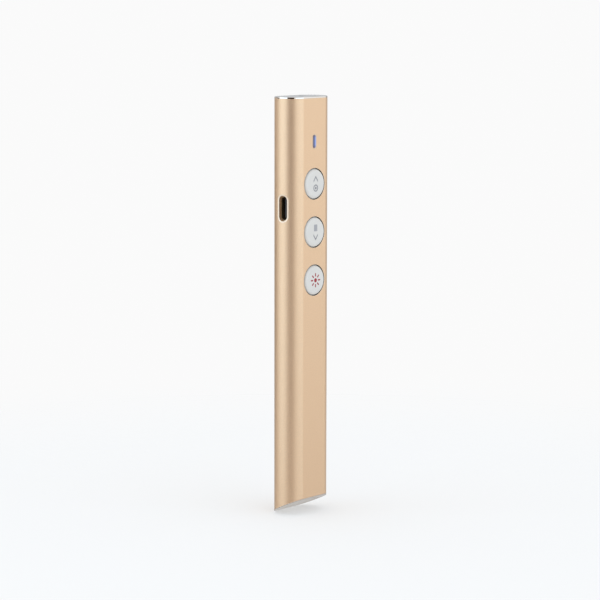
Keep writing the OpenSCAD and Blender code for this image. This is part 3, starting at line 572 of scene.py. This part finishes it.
def blend(tree, factor, first, second):
    """A shader between two, by a factor."""
    node = tree.nodes.new("ShaderNodeMixShader")
    for value, socket in zip((factor, first, second), node.inputs):
        tree.links.new(value, socket)
    return node.outputs[0]


class Finish:
    """Builds one procedural material, node by node."""

    def __init__(self, name, **sockets):
        self.material = bpy.data.materials.new(name)
        self.material.use_nodes = True
        self.nodes = self.material.node_tree.nodes
        self.links = self.material.node_tree.links
        self.shader = self.nodes["Principled BSDF"]
        self.set(**sockets)
        self.place = self.nodes.new("ShaderNodeTexCoord").outputs["Object"]

    def set(self, **sockets):
        """Sets the shader's own sockets; an underscore stands for a space."""
        for key, value in sockets.items():
            socket = self.shader.inputs[key.replace("_", " ")]
            socket.default_value = (*value, 1) if key.endswith(("Color", "Tint")) else value

    def noise(self, size, detail=2.0, stretch=(1, 1, 1)):
        """Noise whose grains are about this size in metres."""
        mapping = self.nodes.new("ShaderNodeMapping")
        mapping.inputs["Scale"].default_value = stretch
        self.links.new(self.place, mapping.inputs["Vector"])
        texture = self.nodes.new("ShaderNodeTexNoise")
        texture.inputs["Scale"].default_value = 1 / size
        texture.inputs["Detail"].default_value = detail
        self.links.new(mapping.outputs["Vector"], texture.inputs["Vector"])
        return texture.outputs["Fac"]

    def cells(self, size):
        """Cell pattern whose cells are about this size in metres."""
        texture = self.nodes.new("ShaderNodeTexVoronoi")
        texture.inputs["Scale"].default_value = 1 / size
        self.links.new(self.place, texture.inputs["Vector"])
        return texture.outputs["Distance"]

    def range(self, value, low, high, start=0.3, end=0.7):
        """Stretches a value between start and end to low and high."""
        node = self.nodes.new("ShaderNodeMapRange")
        node.inputs["From Min"].default_value = start
        node.inputs["From Max"].default_value = end
        node.inputs["To Min"].default_value = low
        node.inputs["To Max"].default_value = high
        self.links.new(value, node.inputs["Value"])
        return node.outputs["Result"]

    def mix(self, factor, first, second):
        """A colour between two, by a factor."""
        node = self.nodes.new("ShaderNodeMix")
        node.data_type = "RGBA"
        self.links.new(factor, node.inputs["Factor"])
        feed(self.links, first, node.inputs[6])
        feed(self.links, second, node.inputs[7])
        return node.outputs[2]

    def colour(self, value):
        """Colours the surface by a node's value."""
        self.links.new(value, self.shader.inputs["Base Color"])

    def roughness(self, value):
        """Makes the surface as rough as a node's value."""
        self.links.new(value, self.shader.inputs["Roughness"])

    def bump(self, height, strength, distance):
        """Raises the surface by a height pattern; distance is in metres."""
        node = self.nodes.new("ShaderNodeBump")
        node.inputs["Strength"].default_value = strength
        node.inputs["Distance"].default_value = distance
        self.links.new(height, node.inputs["Height"])
        self.links.new(node.outputs["Normal"], self.shader.inputs["Normal"])


def tone(colour, factor):
    """A colour made darker or lighter."""
    return tuple(min(1.0, part * factor) for part in colour)


def metal(name, colour, roughness, grain, depth, spread=0.05, stretch=(1, 1, 1), shine=1.0):
    """Metal with a grain in its colour, its gloss and its surface."""
    finish = Finish(name, Metallic=shine)
    fine = finish.noise(grain, 3.0, stretch)
    broad = finish.noise(0.012, 2.0)
    finish.colour(finish.mix(finish.range(fine, 0, 1), tone(colour, 1 - spread), tone(colour, 1 + spread)))
    finish.roughness(finish.range(broad, roughness * 0.93, roughness * 1.07))
    finish.bump(fine, 0.5, depth)
    return finish.material


def plastic(name, colour, roughness, grain=0.0002, depth=0.000006, spread=0.06, **sockets):
    """Moulded plastic with a fine texture."""
    finish = Finish(name, **sockets)
    fine = finish.noise(grain, 2.0)
    broad = finish.noise(0.006, 2.0)
    finish.colour(finish.mix(finish.range(broad, 0, 1), tone(colour, 1 - spread), tone(colour, 1 + spread)))
    finish.roughness(finish.range(fine, roughness * 0.9, roughness * 1.1))
    finish.bump(fine, 0.4, depth)
    return finish.material


def anodised_gold(name, colour, roughness):
    """Bead-blasted aluminium, anodised: small pits that scatter the light, with a faint speckle."""
    finish = Finish(name, Metallic=0.92, Coat_Weight=0.7, Coat_Roughness=0.4)
    pits = finish.cells(0.00022)
    speck = finish.noise(0.00035, 3.0)
    broad = finish.noise(0.02, 2.0, (1, 1, 0.3))
    speckled = finish.mix(finish.range(speck, 0, 1, 0.25, 0.75), tone(colour, 0.93), tone(colour, 1.06))
    clouded = finish.mix(finish.range(broad, 0, 0.25), speckled, tone(colour, 0.95))
    finish.colour(clouded)
    finish.roughness(finish.range(speck, roughness * 0.92, roughness * 1.08))
    finish.bump(pits, 0.35, 0.00002)
    return finish.material


def guide_glow_with_painted_light(name, centre, half):
    """Smoky clear guide with a blue light behind it; its glow carries painted shade on the left and at both
    ends, and a painted highlight on the right.
    """
    finish = Finish(name, Base_Color=(0.03, 0.033, 0.045), Roughness=0.3, IOR=1.4)
    split = finish.nodes.new("ShaderNodeSeparateXYZ")
    finish.links.new(finish.place, split.inputs["Vector"])
    # painted shade towards both ends of the glow
    below = finish.range(split.outputs["Z"], 0, 1, centre - half, centre - half * LOWER_END_SHADE)
    above = finish.range(split.outputs["Z"], 1, 0, centre + half * UPPER_END_SHADE, centre + half)
    clear_of_end_shade = reckon(finish.material.node_tree, "MINIMUM", below, above)
    # painted shade on the left side and a painted highlight on the right side of the glow
    middle_share = finish.range(split.outputs["X"], 0, 1, *SHADE_TO_MIDDLE)
    highlight_share = finish.range(split.outputs["X"], 0, 1, *MIDDLE_TO_HIGHLIGHT)
    shaded_left_part = finish.mix(middle_share, LIGHT_PAINTED_SHADE, LIGHT_MIDDLE)
    glow = finish.mix(highlight_share, shaded_left_part, LIGHT_PAINTED_HIGHLIGHT)
    finish.links.new(finish.mix(clear_of_end_shade, LIGHT_END_PAINTED_SHADE, glow), finish.shader.inputs["Emission Color"])
    finish.set(Emission_Strength=1.0)
    finish.bump(finish.noise(0.0009, 2.0), 0.2, 0.00002)
    return finish.material


def glass(name, colour, roughness):
    """Clear plastic or glass with faint ripples."""
    finish = Finish(name, Base_Color=colour, Roughness=roughness, IOR=1.5, Transmission_Weight=0.95)
    finish.bump(finish.noise(0.002, 1.0), 0.05, 0.00001)
    return finish.material


def circuit_mask(name, colour):
    """Solder mask over copper tracks."""
    finish = Finish(name, Roughness=0.35, Coat_Weight=0.3)
    brick = finish.nodes.new("ShaderNodeTexBrick")
    brick.inputs["Scale"].default_value = 320
    brick.inputs["Mortar Size"].default_value = 0.03
    brick.inputs["Color1"].default_value = (*colour, 1)
    brick.inputs["Color2"].default_value = (*tone(colour, 0.85), 1)
    brick.inputs["Mortar"].default_value = (*tone(colour, 1.8), 1)
    finish.links.new(finish.place, brick.inputs["Vector"])
    finish.colour(brick.outputs["Color"])
    finish.bump(brick.outputs["Fac"], 0.3, 0.00003)
    return finish.material


def open_foam(name, colour):
    """Open-cell foam."""
    finish = Finish(name, Roughness=0.95)
    pores = finish.cells(0.0007)
    finish.colour(finish.mix(finish.range(pores, 0, 1, 0.0, 0.6), tone(colour, 0.5), tone(colour, 1.3)))
    finish.bump(pores, 0.8, 0.0001)
    return finish.material


def foil(name, colour):
    """Crinkled laminate foil of a pouch cell."""
    finish = Finish(name, Metallic=0.8)
    creases = finish.noise(0.004, 4.0, (1, 1, 0.4))
    finish.colour(finish.mix(finish.range(creases, 0, 1), tone(colour, 0.9), tone(colour, 1.05)))
    finish.roughness(finish.range(creases, 0.3, 0.5))
    finish.bump(creases, 0.3, 0.00015)
    return finish.material


FINISHES = {}
# Nodes whose finish is another than their slot's: the charging port's shell gets a dark, warm metal, which
# paints the shade inside the port with a painted warm reflection of the gold round it
OTHER_FINISHES = {"usb_c_shell": "port_metal_painted_shade"}


def make_finishes(colours):
    """Makes each finish once; one that stands for a slot of the record bears the slot's name."""
    FINISHES.update({
        "gold_anodised": anodised_gold("gold_anodised", colours.gold, 0.45),
        "gold_cut_edge": metal("gold_cut_edge", colours.gold_bright, 0.5, 0.00015, 0.000002, shine=0.5),
        # Near-black gold on the walls of the button holes: painted shade
        "gold_bore_painted_shade": metal("gold_bore_painted_shade", tone(colours.gold, 0.12), 0.6, 0.0003, 0.000003),
        "bright_chrome": metal("bright_chrome", colours.chrome, 0.09, 0.0006, 0.0000006, 0.015),
        "button_white": plastic("button_white", colours.button, 0.34, 0.0003, 0.000002, 0.02,
                                Coat_Weight=0.15, Coat_Roughness=0.2),
        "clear_window": glass("clear_window", (0.93, 0.97, 0.98), 0.04),
        # the status light's glow, with painted shade and a painted highlight
        "blue_guide": guide_glow_with_painted_light("blue_guide", LIGHT_HEIGHT, LIGHT_SLOT[0] / 2),
        "blue_led": plastic("blue_led", (0.12, 0.25, 0.80), 0.3),
        "brass": metal("brass", (0.78, 0.60, 0.30), 0.28, 0.0004, 0.000004, 0.06, (1, 1, 6)),
        "steel": metal("steel", (0.62, 0.62, 0.61), 0.3, 0.0003, 0.000004, 0.05),
        "lens_clear": glass("lens_clear", (0.95, 0.97, 1.0), 0.02),
        "black_plastic": plastic("black_plastic", (0.030, 0.030, 0.033), 0.5),
        "board_green": circuit_mask("board_green", (0.02, 0.16, 0.07)),
        "chip_black": plastic("chip_black", (0.025, 0.025, 0.027), 0.6, 0.0001),
        "ceramic_tan": plastic("ceramic_tan", (0.62, 0.48, 0.33), 0.5, 0.00015),
        "contact_gold": metal("contact_gold", (0.92, 0.70, 0.32), 0.22, 0.0002, 0.000002),
        "battery_foil": foil("battery_foil", (0.66, 0.68, 0.71)),
        "wire_red": plastic("wire_red", (0.52, 0.03, 0.02), 0.4),
        "wire_black": plastic("wire_black", (0.02, 0.02, 0.02), 0.4),
        "foam_grey": open_foam("foam_grey", (0.12, 0.12, 0.125)),
        "magnet_nickel": metal("magnet_nickel", (0.70, 0.69, 0.67), 0.14, 0.0003, 0.000002),
        # Dark, warm metal for the port's shell: painted shade with a painted warm reflection of the gold
        # round it
        "port_metal_painted_shade": metal("port_metal_painted_shade", (0.46, 0.36, 0.24), 0.45, 0.0003, 0.000003),
        "grey_ink": plastic("grey_ink", colours.ink, 0.5, 0.0001, 0.000001),
        "pale_ink": plastic("pale_ink", colours.pale_ink, 0.5, 0.0001, 0.000001),
        "red_ink": plastic("red_ink", colours.red_ink, 0.5, 0.0001, 0.000001),
    })


# ---- operators, one for each piece or group of like pieces ----


class CLICKER_OT_finishes(bpy.types.Operator):
    """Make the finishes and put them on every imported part"""

    bl_idname = "clicker.finishes"
    bl_label = "Finishes"

    def execute(self, context):
        make_finishes(context.scene.clicker_colours)
        for part in frame["record"]["subparts"]:
            node = frame["nodes"][part["node"]]
            material = FINISHES[OTHER_FINISHES.get(part["node"], part["material_slot"])]
            if not node.material_slots:
                node.data.materials.append(material)
            for held in node.material_slots:
                held.material = material
        return {"FINISHED"}


class CLICKER_OT_tube(bpy.types.Operator):
    """Model the anodised tube with its openings"""

    bl_idname = "clicker.tube"
    bl_label = "Body tube"

    def plain_tube(self, sizes):
        """The tube with its slanted end, its bevelled ends and the ribs inside, before it is opened."""
        top = TUBE_HIGH.z
        tube = add_outline("tube", sizes, 0, top)
        cut_slant(tube, sizes, sizes.end_plate)
        point, normal = slant_plane(sizes, sizes.end_plate)
        with Editing(tube, "EDGE") as edit:
            edit.pick(lambda edge: all(abs(vertex.co.z - top) < SAME_PLACE for vertex in edge.verts)
                      or all(abs((vertex.co - point).dot(normal)) < SAME_PLACE for vertex in edge.verts))
            bpy.ops.mesh.bevel(offset=sizes.rim_bevel, segments=2, affect="EDGES")
        carve(tube, add_outline("bore_tool", sizes, -PAST, top + PAST, sizes.wall))
        inner = side_surface(sizes, sizes.rib_place) - sizes.wall
        for side in (1, -1):
            low_x, high_x = sorted((side * (inner - sizes.rib_height), side * (inner + sizes.wall / 2)))
            rib = add_block("rib", (low_x, sizes.rib_place - sizes.rib_width / 2, RIB_FOOT),
                            (high_x, sizes.rib_place + sizes.rib_width / 2, top - LAP))
            cut_slant(rib, sizes, sizes.end_plate + LAP)
            carve(tube, rib, "UNION")
        return tube

    def open_key_hole(self, tube, sizes, height):
        """Cuts a button's hole, with a fine bright bevel."""
        radius, bevel = sizes.button_hole / 2, sizes.edge_break
        hole = add_round("hole_tool", radius, -sizes.wall - PAST, PAST, sizes.round_steps)
        # The hole's wall takes a near-black gold: painted shade in the gap round the button
        leave_finish(hole, "gold_bore_painted_shade")
        rim = add_round("rim_tool", radius - bevel, -2 * bevel, 2 * bevel, sizes.round_steps,
                        radius + 3 * bevel)
        leave_finish(rim, "gold_cut_edge")
        for tool in (hole, rim):
            place(tool, on_front(sizes, height))
            carve(tube, tool)

    def open_slot(self, tube, size, deep, bevel, where, bend=None):
        """Cuts a round-ended opening with a bevelled rim, which bend may fit to a rounded side."""
        slot = add_slot("slot_tool", *size, -deep, PAST)
        place(slot, where)
        carve(tube, slot)
        rim = add_countersink("rim_tool", *size, *bevel)
        place(rim, where)
        if bend:
            bend(rim)
        carve(tube, rim)

    def open_side(self, tube, sizes, size, bevel, y, z, side):
        """Cuts such an opening in the left side, -1, or the right side, 1."""
        where = Matrix.Translation((side * sizes.body_width / 2, y, z)) @ Matrix.Rotation(
            side * RIGHT_ANGLE, 4, "Y")

        def bend(rim):
            for vertex in rim.data.vertices:
                vertex.co.x += side * (side_surface(sizes, vertex.co.y) - sizes.body_width / 2)

        self.open_slot(tube, size, 3 * sizes.wall, bevel, where, bend)

    def execute(self, context):
        sizes = context.scene.clicker_sizes
        tube = self.plain_tube(sizes)
        coat(tube, *TUBE_FINISHES)
        for height in KEY_HEIGHTS:
            self.open_key_hole(tube, sizes, height)
        light_bevel = (sizes.light_bevel, sizes.light_bevel)
        port_bevel = (sizes.port_bevel, sizes.port_bevel_depth)
        knob_bevel = (sizes.edge_break, sizes.edge_break)
        self.open_slot(tube, LIGHT_SLOT, sizes.wall + PAST, light_bevel,
                       on_front(sizes, LIGHT_HEIGHT) @ QUARTER_TURN)
        self.open_side(tube, sizes, PORT_OPENING, port_bevel, PORT_PLACE.y, PORT_PLACE.z, -1)
        self.open_side(tube, sizes, KNOB_SLOT, knob_bevel, KNOB_PLACE.y, KNOB_PLACE.z - KNOB_DROP, 1)
        smooth(tube, 9)
        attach(tube, "handset")
        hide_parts("body_tube")
        return {"FINISHED"}


class CLICKER_OT_top_plate(bpy.types.Operator):
    """Model the chrome top cap with its laser aperture"""

    bl_idname = "clicker.top_plate"
    bl_label = "Top cap"

    def snap_finger(self, side, top):
        """One of the fingers beside the boss, with a hook at its lower end."""
        half = FINGER_WIDTH / 2
        finger = add_block("finger", (side * FINGER_PLACE - FINGER_THICKNESS / 2, -half, CAP_LOW.z),
                           (side * FINGER_PLACE + FINGER_THICKNESS / 2, half, top))
        hook = add_block("hook", (side * HOOK_PLACE - HOOK_THICKNESS / 2, -half, CAP_LOW.z),
                         (side * HOOK_PLACE + HOOK_THICKNESS / 2, half, CAP_LOW.z + HOOK_HEIGHT))
        with Editing(hook, "VERT") as edit:
            edit.pick(lambda vertex: abs(vertex.co.x) > HOOK_PLACE
                      and vertex.co.z < CAP_LOW.z + HOOK_HEIGHT / 2)
            bpy.ops.transform.translate(value=(-side * HOOK_LEAD, 0, 0))
        carve(finger, hook, "UNION")
        return finger

    def execute(self, context):
        sizes = context.scene.clicker_sizes
        seam, top = TUBE_HIGH.z, CAP_HIGH.z
        spigot_low = seam - SPIGOT_DEPTH
        cap = add_outline("cap", sizes, seam, top)
        with Editing(cap, "EDGE") as edit:
            edit.pick(lambda edge: all(abs(vertex.co.z - top) < SAME_PLACE for vertex in edge.verts))
            bpy.ops.mesh.bevel(offset=sizes.cap_bevel, segments=4, affect="EDGES")
        gap = sizes.wall + SPIGOT_GAP
        spigot = add_outline("spigot", sizes, spigot_low, seam + LAP, gap)
        carve(spigot, add_outline("spigot_tool", sizes, spigot_low - PAST, WINDOW_LOW.z - SPIGOT_ROOF,
                                  gap + SPIGOT_WALL))
        carve(cap, spigot, "UNION")
        carve(cap, add_round("boss", BOSS_RADIUS, spigot_low + LAP, seam + LAP, sizes.round_steps), "UNION")
        for side in (1, -1):
            carve(cap, self.snap_finger(side, seam + LAP), "UNION")
        for radius, low, high in ((BARREL_BORE, spigot_low - PAST, WINDOW_LOW.z),
                                  (WINDOW_SEAT, WINDOW_LOW.z - PAST, WINDOW_HIGH.z),
                                  (APERTURE, WINDOW_LOW.z, top + PAST)):
            carve(cap, add_round("bore_tool", radius, low, high, sizes.round_steps))
        carve(cap, add_round("rim_tool", APERTURE, top - RIM_DEPTH, top + RIM_DEPTH, sizes.round_steps,
                             APERTURE_RIM))
        smooth(cap, 25)
        coat(cap, "bright_chrome")
        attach(cap, "handset")
        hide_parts("top_cap")
        return {"FINISHED"}


class CLICKER_OT_buttons(bpy.types.Operator):
    """Model the three round buttons, with flange and stem behind"""

    bl_idname = "clicker.buttons"
    bl_label = "Buttons"

    def cap_solid(self, sizes):
        """The cap at the origin: z points out of the front face."""
        radius = sizes.button_hole / 2 - sizes.button_gap
        back = -(STEM_BACK + sizes.body_thickness / 2)
        edge, proud = sizes.button_edge, sizes.button_proud
        rise = proud + sizes.button_sunk
        arc = (edge ** 2 + rise ** 2) / (2 * rise)
        start = math.asin(edge / arc)
        flange_back = -(sizes.wall + FLANGE_GAP + sizes.flange_thickness)
        cap = add_round("cap", radius, flange_back, -sizes.button_sunk, sizes.round_steps)
        with Editing(cap, "FACE") as edit:
            edit.pick(lambda face: face.normal.z > FACING)
            for step in range(EDGE_STEPS):
                slope = start * (1 - step / EDGE_STEPS)
                next_slope = start * (1 - (step + 1) / EDGE_STEPS)
                bpy.ops.mesh.inset(thickness=arc * (math.sin(slope) - math.sin(next_slope)),
                                   depth=arc * (math.cos(next_slope) - math.cos(slope)))
        hollow = add_round("hollow_tool", radius - sizes.button_wall, flange_back - PAST,
                           proud - sizes.button_wall, sizes.round_steps)
        carve(cap, hollow)
        flange = add_round("flange", FLANGE_RADIUS, flange_back, flange_back + sizes.flange_thickness,
                           sizes.round_steps)
        side = add_block("side_tool", (-FLANGE_HALF_WIDTH, -ALL_OVER, -ALL_OVER),
                         (FLANGE_HALF_WIDTH, ALL_OVER, ALL_OVER))
        carve(flange, side, "INTERSECT")
        carve(flange, add_round("flange_tool", radius - sizes.button_wall / 2, -ALL_OVER, ALL_OVER,
                                sizes.round_steps))
        carve(cap, flange, "UNION")
        stem = add_round("stem", sizes.stem / 2, back, proud - sizes.button_wall / 2, STEM_STEPS)
        carve(cap, stem, "UNION")
        return cap

    def execute(self, context):
        sizes = context.scene.clicker_sizes
        model = self.cap_solid(sizes)
        smooth(model, 20)
        for key, height in zip(KEYS, KEY_HEIGHTS):
            select_only(model)
            bpy.ops.object.duplicate(linked=False)
            button = named("cap_" + key)
            place(button, on_front(sizes, height))
            coat(button, "button_white")
            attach(button, key + "_key")
            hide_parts("button_" + key)
        bpy.data.objects.remove(model)
        return {"FINISHED"}


class CLICKER_OT_marks(bpy.types.Operator):
    """Model the marks printed on the buttons"""

    bl_idname = "clicker.marks"
    bl_label = "Printed marks"

    def print_on(self, sizes, key, mark, name, ink):
        """Puts a finished mark on its button."""
        mark.name = mark.data.name = name
        place(mark, on_front(sizes, KEY_HEIGHTS[KEYS.index(key)], -sizes.button_proud))
        coat(mark, ink)
        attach(mark, key + "_key")

    def arrow(self, sizes, low, high):
        """An arrow head between two heights, pointing up where high is above low."""
        stroke = math.copysign(sizes.mark_stroke * ARROW_WEIGHT, high - low)
        bottom, top = sorted((high, high - stroke))
        arm = add_block("arm", (0, bottom, -MARK_DEPTH), (ARROW_HALF_WIDTH, top, sizes.print_thickness))
        with Editing(arm, "VERT") as edit:
            edit.pick(lambda vertex: vertex.co.x > ARROW_HALF_WIDTH / 2)
            bpy.ops.transform.translate(value=(0, stroke - (high - low), 0))
        select_only(arm)
        bpy.ops.object.modifier_add(type="MIRROR")
        bpy.ops.object.modifier_apply(modifier=arm.modifiers[-1].name)
        with Editing(arm, "FACE") as edit:
            edit.pick(lambda face: abs(middle(face).x) < SAME_PLACE and abs(face.normal.x) > FACING)
            bpy.ops.mesh.delete(type="FACE")
            bpy.ops.mesh.select_all(action="SELECT")
            bpy.ops.mesh.remove_doubles(threshold=SAME_PLACE)
            face_outwards()
        return arm

    def execute(self, context):
        sizes = context.scene.clicker_sizes
        low, top = -MARK_DEPTH, sizes.print_thickness
        # next page, and the ring with a dot
        self.print_on(sizes, "top", self.arrow(sizes, *NEXT_ARROW), "mark_next", "grey_ink")
        ring = add_round("ring", RING_RADIUS, low, top, RING_STEPS)
        carve(ring, add_round("ring_tool", RING_RADIUS - sizes.mark_stroke, -PAST, PAST, RING_STEPS))
        carve(ring, add_round("dot", RING_DOT, low, top, DOT_STEPS), "UNION")
        place(ring, Matrix.Translation((0, RING_HEIGHT, 0)))
        self.print_on(sizes, "top", ring, "mark_ring", "grey_ink")
        # previous page, and the screen
        self.print_on(sizes, "middle", self.arrow(sizes, *PREVIOUS_ARROW), "mark_previous", "grey_ink")
        screen = add_block("screen", (-SCREEN_HALF_WIDTH, SCREEN_SPAN[0], low),
                           (SCREEN_HALF_WIDTH, SCREEN_SPAN[1], top))
        with Editing(screen, "EDGE") as edit:
            edit.pick(lambda edge: abs(edge.verts[0].co.z - edge.verts[1].co.z) > SAME_PLACE)
            bpy.ops.mesh.bevel(offset=SCREEN_CORNER, segments=4, affect="EDGES")
        self.print_on(sizes, "middle", screen, "mark_screen", "pale_ink")
        # the laser's sunburst
        dot = add_round("dot", BEAM_DOT, low, top, DOT_STEPS)
        self.print_on(sizes, "bottom", dot, "mark_laser_dot", "red_ink")
        rays = add_slot("rays", *BEAM_RAY, low, top, RAY_STEPS)
        place(rays, Matrix.Translation((BEAM_RAY_PLACE, 0, 0)))
        with Editing(rays, "FACE"):
            bpy.ops.mesh.select_all(action="SELECT")
            bpy.ops.mesh.spin(steps=BEAM_RAYS - 1, dupli=True, angle=-math.tau * (1 - 1 / BEAM_RAYS),
                              center=(0, 0, 0), axis=(0, 0, 1))
            face_outwards()
        self.print_on(sizes, "bottom", rays, "mark_laser_rays", "red_ink")
        return {"FINISHED"}


class CLICKER_OT_stage(bpy.types.Operator):
    """Set up the floor, the soft boxes, the screens and the camera"""

    bl_idname = "clicker.stage"
    bl_label = "Studio"

    def soft_box(self, name, bearing, width, power, colour):
        """A large area light that points at the object."""
        angle = math.radians(bearing)
        spot = (math.sin(angle) * LAMP_DISTANCE, -math.cos(angle) * LAMP_DISTANCE, LAMP_HEIGHT)
        bpy.ops.object.light_add(type="AREA", location=spot)
        lamp = bpy.context.object
        lamp.name = lamp.data.name = name
        lamp.data.shape = "RECTANGLE"
        lamp.data.size = width
        lamp.data.size_y = LAMP_TALL
        lamp.data.energy = power
        lamp.data.color = colour
        sight = Vector((0, 0, LAMP_AIM)) - lamp.location
        lamp.rotation_euler = sight.to_track_quat("-Z", "Y").to_euler()
        lamp.visible_camera = False

    def curved_screen(self, name, bearings, distance, heights, colour):
        """A screen between two bearings: one upright edge, turned about the object."""
        start, end = (math.radians(bearing) for bearing in bearings)
        low, high = heights
        # an upright plane of which only the left edge stays, straight in front of the object
        bpy.ops.mesh.primitive_plane_add(size=1, location=(0.5, -distance, (low + high) / 2),
                                         rotation=(RIGHT_ANGLE, 0, 0))
        screen = named(name)
        screen.scale = (1, high - low, 1)
        place(screen, Matrix.Identity(4))
        with Editing(screen, "VERT") as edit:
            edit.pick(lambda vertex: vertex.co.x > 0.5)
            bpy.ops.mesh.delete(type="VERT")
        place(screen, Matrix.Rotation(start, 4, "Z"))
        with Editing(screen, "VERT"):
            bpy.ops.mesh.select_all(action="SELECT")
            bpy.ops.mesh.spin(steps=SCREEN_STEPS, angle=start - end, center=(0, 0, 0), axis=(0, 0, 1))
        self.finish_screen(screen, colour)

    def finish_screen(self, screen, colour):
        """Makes a screen matt, and hides it from all but reflections."""
        material = bpy.data.materials.new(screen.name)
        material.use_nodes = True
        shader = material.node_tree.nodes["Principled BSDF"]
        shader.inputs["Base Color"].default_value = (*colour, 1)
        shader.inputs["Roughness"].default_value = 1.0
        shader.inputs["Specular IOR Level"].default_value = 0.0
        screen.data.materials.append(material)
        screen.visible_camera = False
        screen.visible_shadow = False
        screen.visible_diffuse = False

    def ceiling(self, colour):
        """A grey screen overhead, which only reflections see."""
        bpy.ops.mesh.primitive_circle_add(vertices=48, radius=CEILING_RADIUS, fill_type="NGON",
                                          location=(0, 0, CEILING_HEIGHT))
        screen = named("flag_ceiling")
        place(screen, Matrix.Identity(4))
        self.finish_screen(screen, colour)

    def seen_directly(self, tree):
        """1 for the camera, for reflections and through glass; 0 for light that falls on things."""
        rays = tree.nodes.new("ShaderNodeLightPath").outputs
        mirrored = reckon(tree, "MAXIMUM", rays["Is Camera Ray"], rays["Is Glossy Ray"])
        return reckon(tree, "MAXIMUM", mirrored, rays["Is Transmission Ray"])

    def world(self, stage, colours):
        """Pale where it is seen directly, and else a soft light from all round."""
        world = bpy.data.worlds.new("studio")
        bpy.context.scene.world = world
        world.use_nodes = True
        tree = world.node_tree
        ambient = tree.nodes["Background"]
        ambient.inputs["Color"].default_value = (1, 1, 1, 1)
        ambient.inputs["Strength"].default_value = stage.ambient
        backdrop = tree.nodes.new("ShaderNodeBackground")
        backdrop.inputs["Color"].default_value = (*colours.backdrop, 1)
        surface = blend(tree, self.seen_directly(tree), ambient.outputs[0], backdrop.outputs[0])
        tree.links.new(surface, tree.nodes["World Output"].inputs["Surface"])

    def floor(self, stage, colours):
        """A round pale floor that fades out into the backdrop, and is clear from below."""
        bpy.ops.mesh.primitive_circle_add(vertices=96, radius=stage.floor_radius, fill_type="NGON")
        disc = named("floor")
        material = bpy.data.materials.new("floor")
        material.use_nodes = True
        tree = material.node_tree
        nodes, links = tree.nodes, tree.links
        nodes.clear()
        matt = nodes.new("ShaderNodeBsdfDiffuse")
        matt.inputs["Color"].default_value = (*stage.floor_colour, 1)
        pale = nodes.new("ShaderNodeEmission")
        pale.inputs["Color"].default_value = (*colours.backdrop, 1)
        glow = reckon(tree, "MULTIPLY", self.seen_directly(tree), stage.floor_glow)
        surface = blend(tree, glow, matt.outputs[0], pale.outputs[0])
        length = nodes.new("ShaderNodeVectorMath")
        length.operation = "LENGTH"
        links.new(nodes.new("ShaderNodeTexCoord").outputs["Object"], length.inputs[0])
        fade = nodes.new("ShaderNodeMapRange")
        fade.interpolation_type = "SMOOTHSTEP"
        fade.inputs["From Min"].default_value = stage.fade_start
        fade.inputs["From Max"].default_value = stage.fade_end
        links.new(length.outputs["Value"], fade.inputs["Value"])
        from_below = nodes.new("ShaderNodeNewGeometry").outputs["Backfacing"]
        hidden = reckon(tree, "MAXIMUM", fade.outputs["Result"], from_below)
        clear = nodes.new("ShaderNodeBsdfTransparent")
        mix = blend(tree, hidden, surface, clear.outputs[0])
        links.new(mix, nodes.new("ShaderNodeOutputMaterial").inputs["Surface"])
        disc.data.materials.append(material)
        disc.visible_glossy = False

    def camera(self, stage):
        """The camera, aimed at the middle of the body."""
        bpy.ops.object.camera_add(location=stage.camera_place)
        camera = bpy.context.object
        camera.name = camera.data.name = "camera"
        sight = (Vector(stage.camera_aim) - camera.location).to_track_quat("-Z", "Y").to_matrix()
        camera.rotation_euler = (sight @ Matrix.Rotation(stage.camera_roll, 3, "Z")).to_euler()
        camera.data.lens = stage.camera_lens
        camera.data.sensor_width = 36
        camera.data.dof.use_dof = False
        bpy.context.scene.camera = camera

    def execute(self, context):
        stage, colours = context.scene.clicker_stage, context.scene.clicker_colours
        context.scene.view_settings.view_transform = "Standard"
        self.world(stage, colours)
        self.floor(stage, colours)
        for name, screen in SCREENS.items():
            self.curved_screen(name, *screen)
        self.ceiling(stage.ceiling_colour)
        self.soft_box("soft_box_left", *LAMP_LEFT, stage.key_strength, stage.lamp_colour)
        self.soft_box("soft_box_right", *LAMP_RIGHT, stage.fill_strength, stage.lamp_colour)
        self.camera(stage)
        return {"FINISHED"}


class CLICKER_PT_panel(bpy.types.Panel):
    """Lists the steps and the sizes in the sidebar"""

    bl_label = "Presentation clicker"
    bl_idname = "CLICKER_PT_panel"
    bl_space_type = "VIEW_3D"
    bl_region_type = "UI"
    bl_category = "Clicker"

    def draw(self, context):
        for step in STEPS:
            self.layout.operator(step.bl_idname)
        for group in (context.scene.clicker_sizes, context.scene.clicker_colours,
                      context.scene.clicker_stage):
            box = self.layout.box()
            for key in group.__annotations__:
                box.prop(group, key)


GROUPS = {
    "clicker_sizes": ClickerSizes,
    "clicker_colours": ClickerColours,
    "clicker_stage": ClickerStage,
}
STEPS = (
    CLICKER_OT_finishes,
    CLICKER_OT_tube,
    CLICKER_OT_top_plate,
    CLICKER_OT_buttons,
    CLICKER_OT_marks,
    CLICKER_OT_stage,
)


def register():
    for item in (*GROUPS.values(), *STEPS, CLICKER_PT_panel):
        bpy.utils.register_class(item)
    for name, group in GROUPS.items():
        setattr(bpy.types.Scene, name, PointerProperty(type=group))


def unregister():
    for name in GROUPS:
        delattr(bpy.types.Scene, name)
    for item in reversed((*GROUPS.values(), *STEPS, CLICKER_PT_panel)):
        bpy.utils.unregister_class(item)


def main():
    """Registers the add-on and runs its steps in order."""
    register()
    bpy.ops.clicker.finishes()
    bpy.ops.clicker.tube()
    bpy.ops.clicker.top_plate()
    bpy.ops.clicker.buttons()
    bpy.ops.clicker.marks()
    bpy.ops.clicker.stage()


if __name__ == "__main__":
    main()
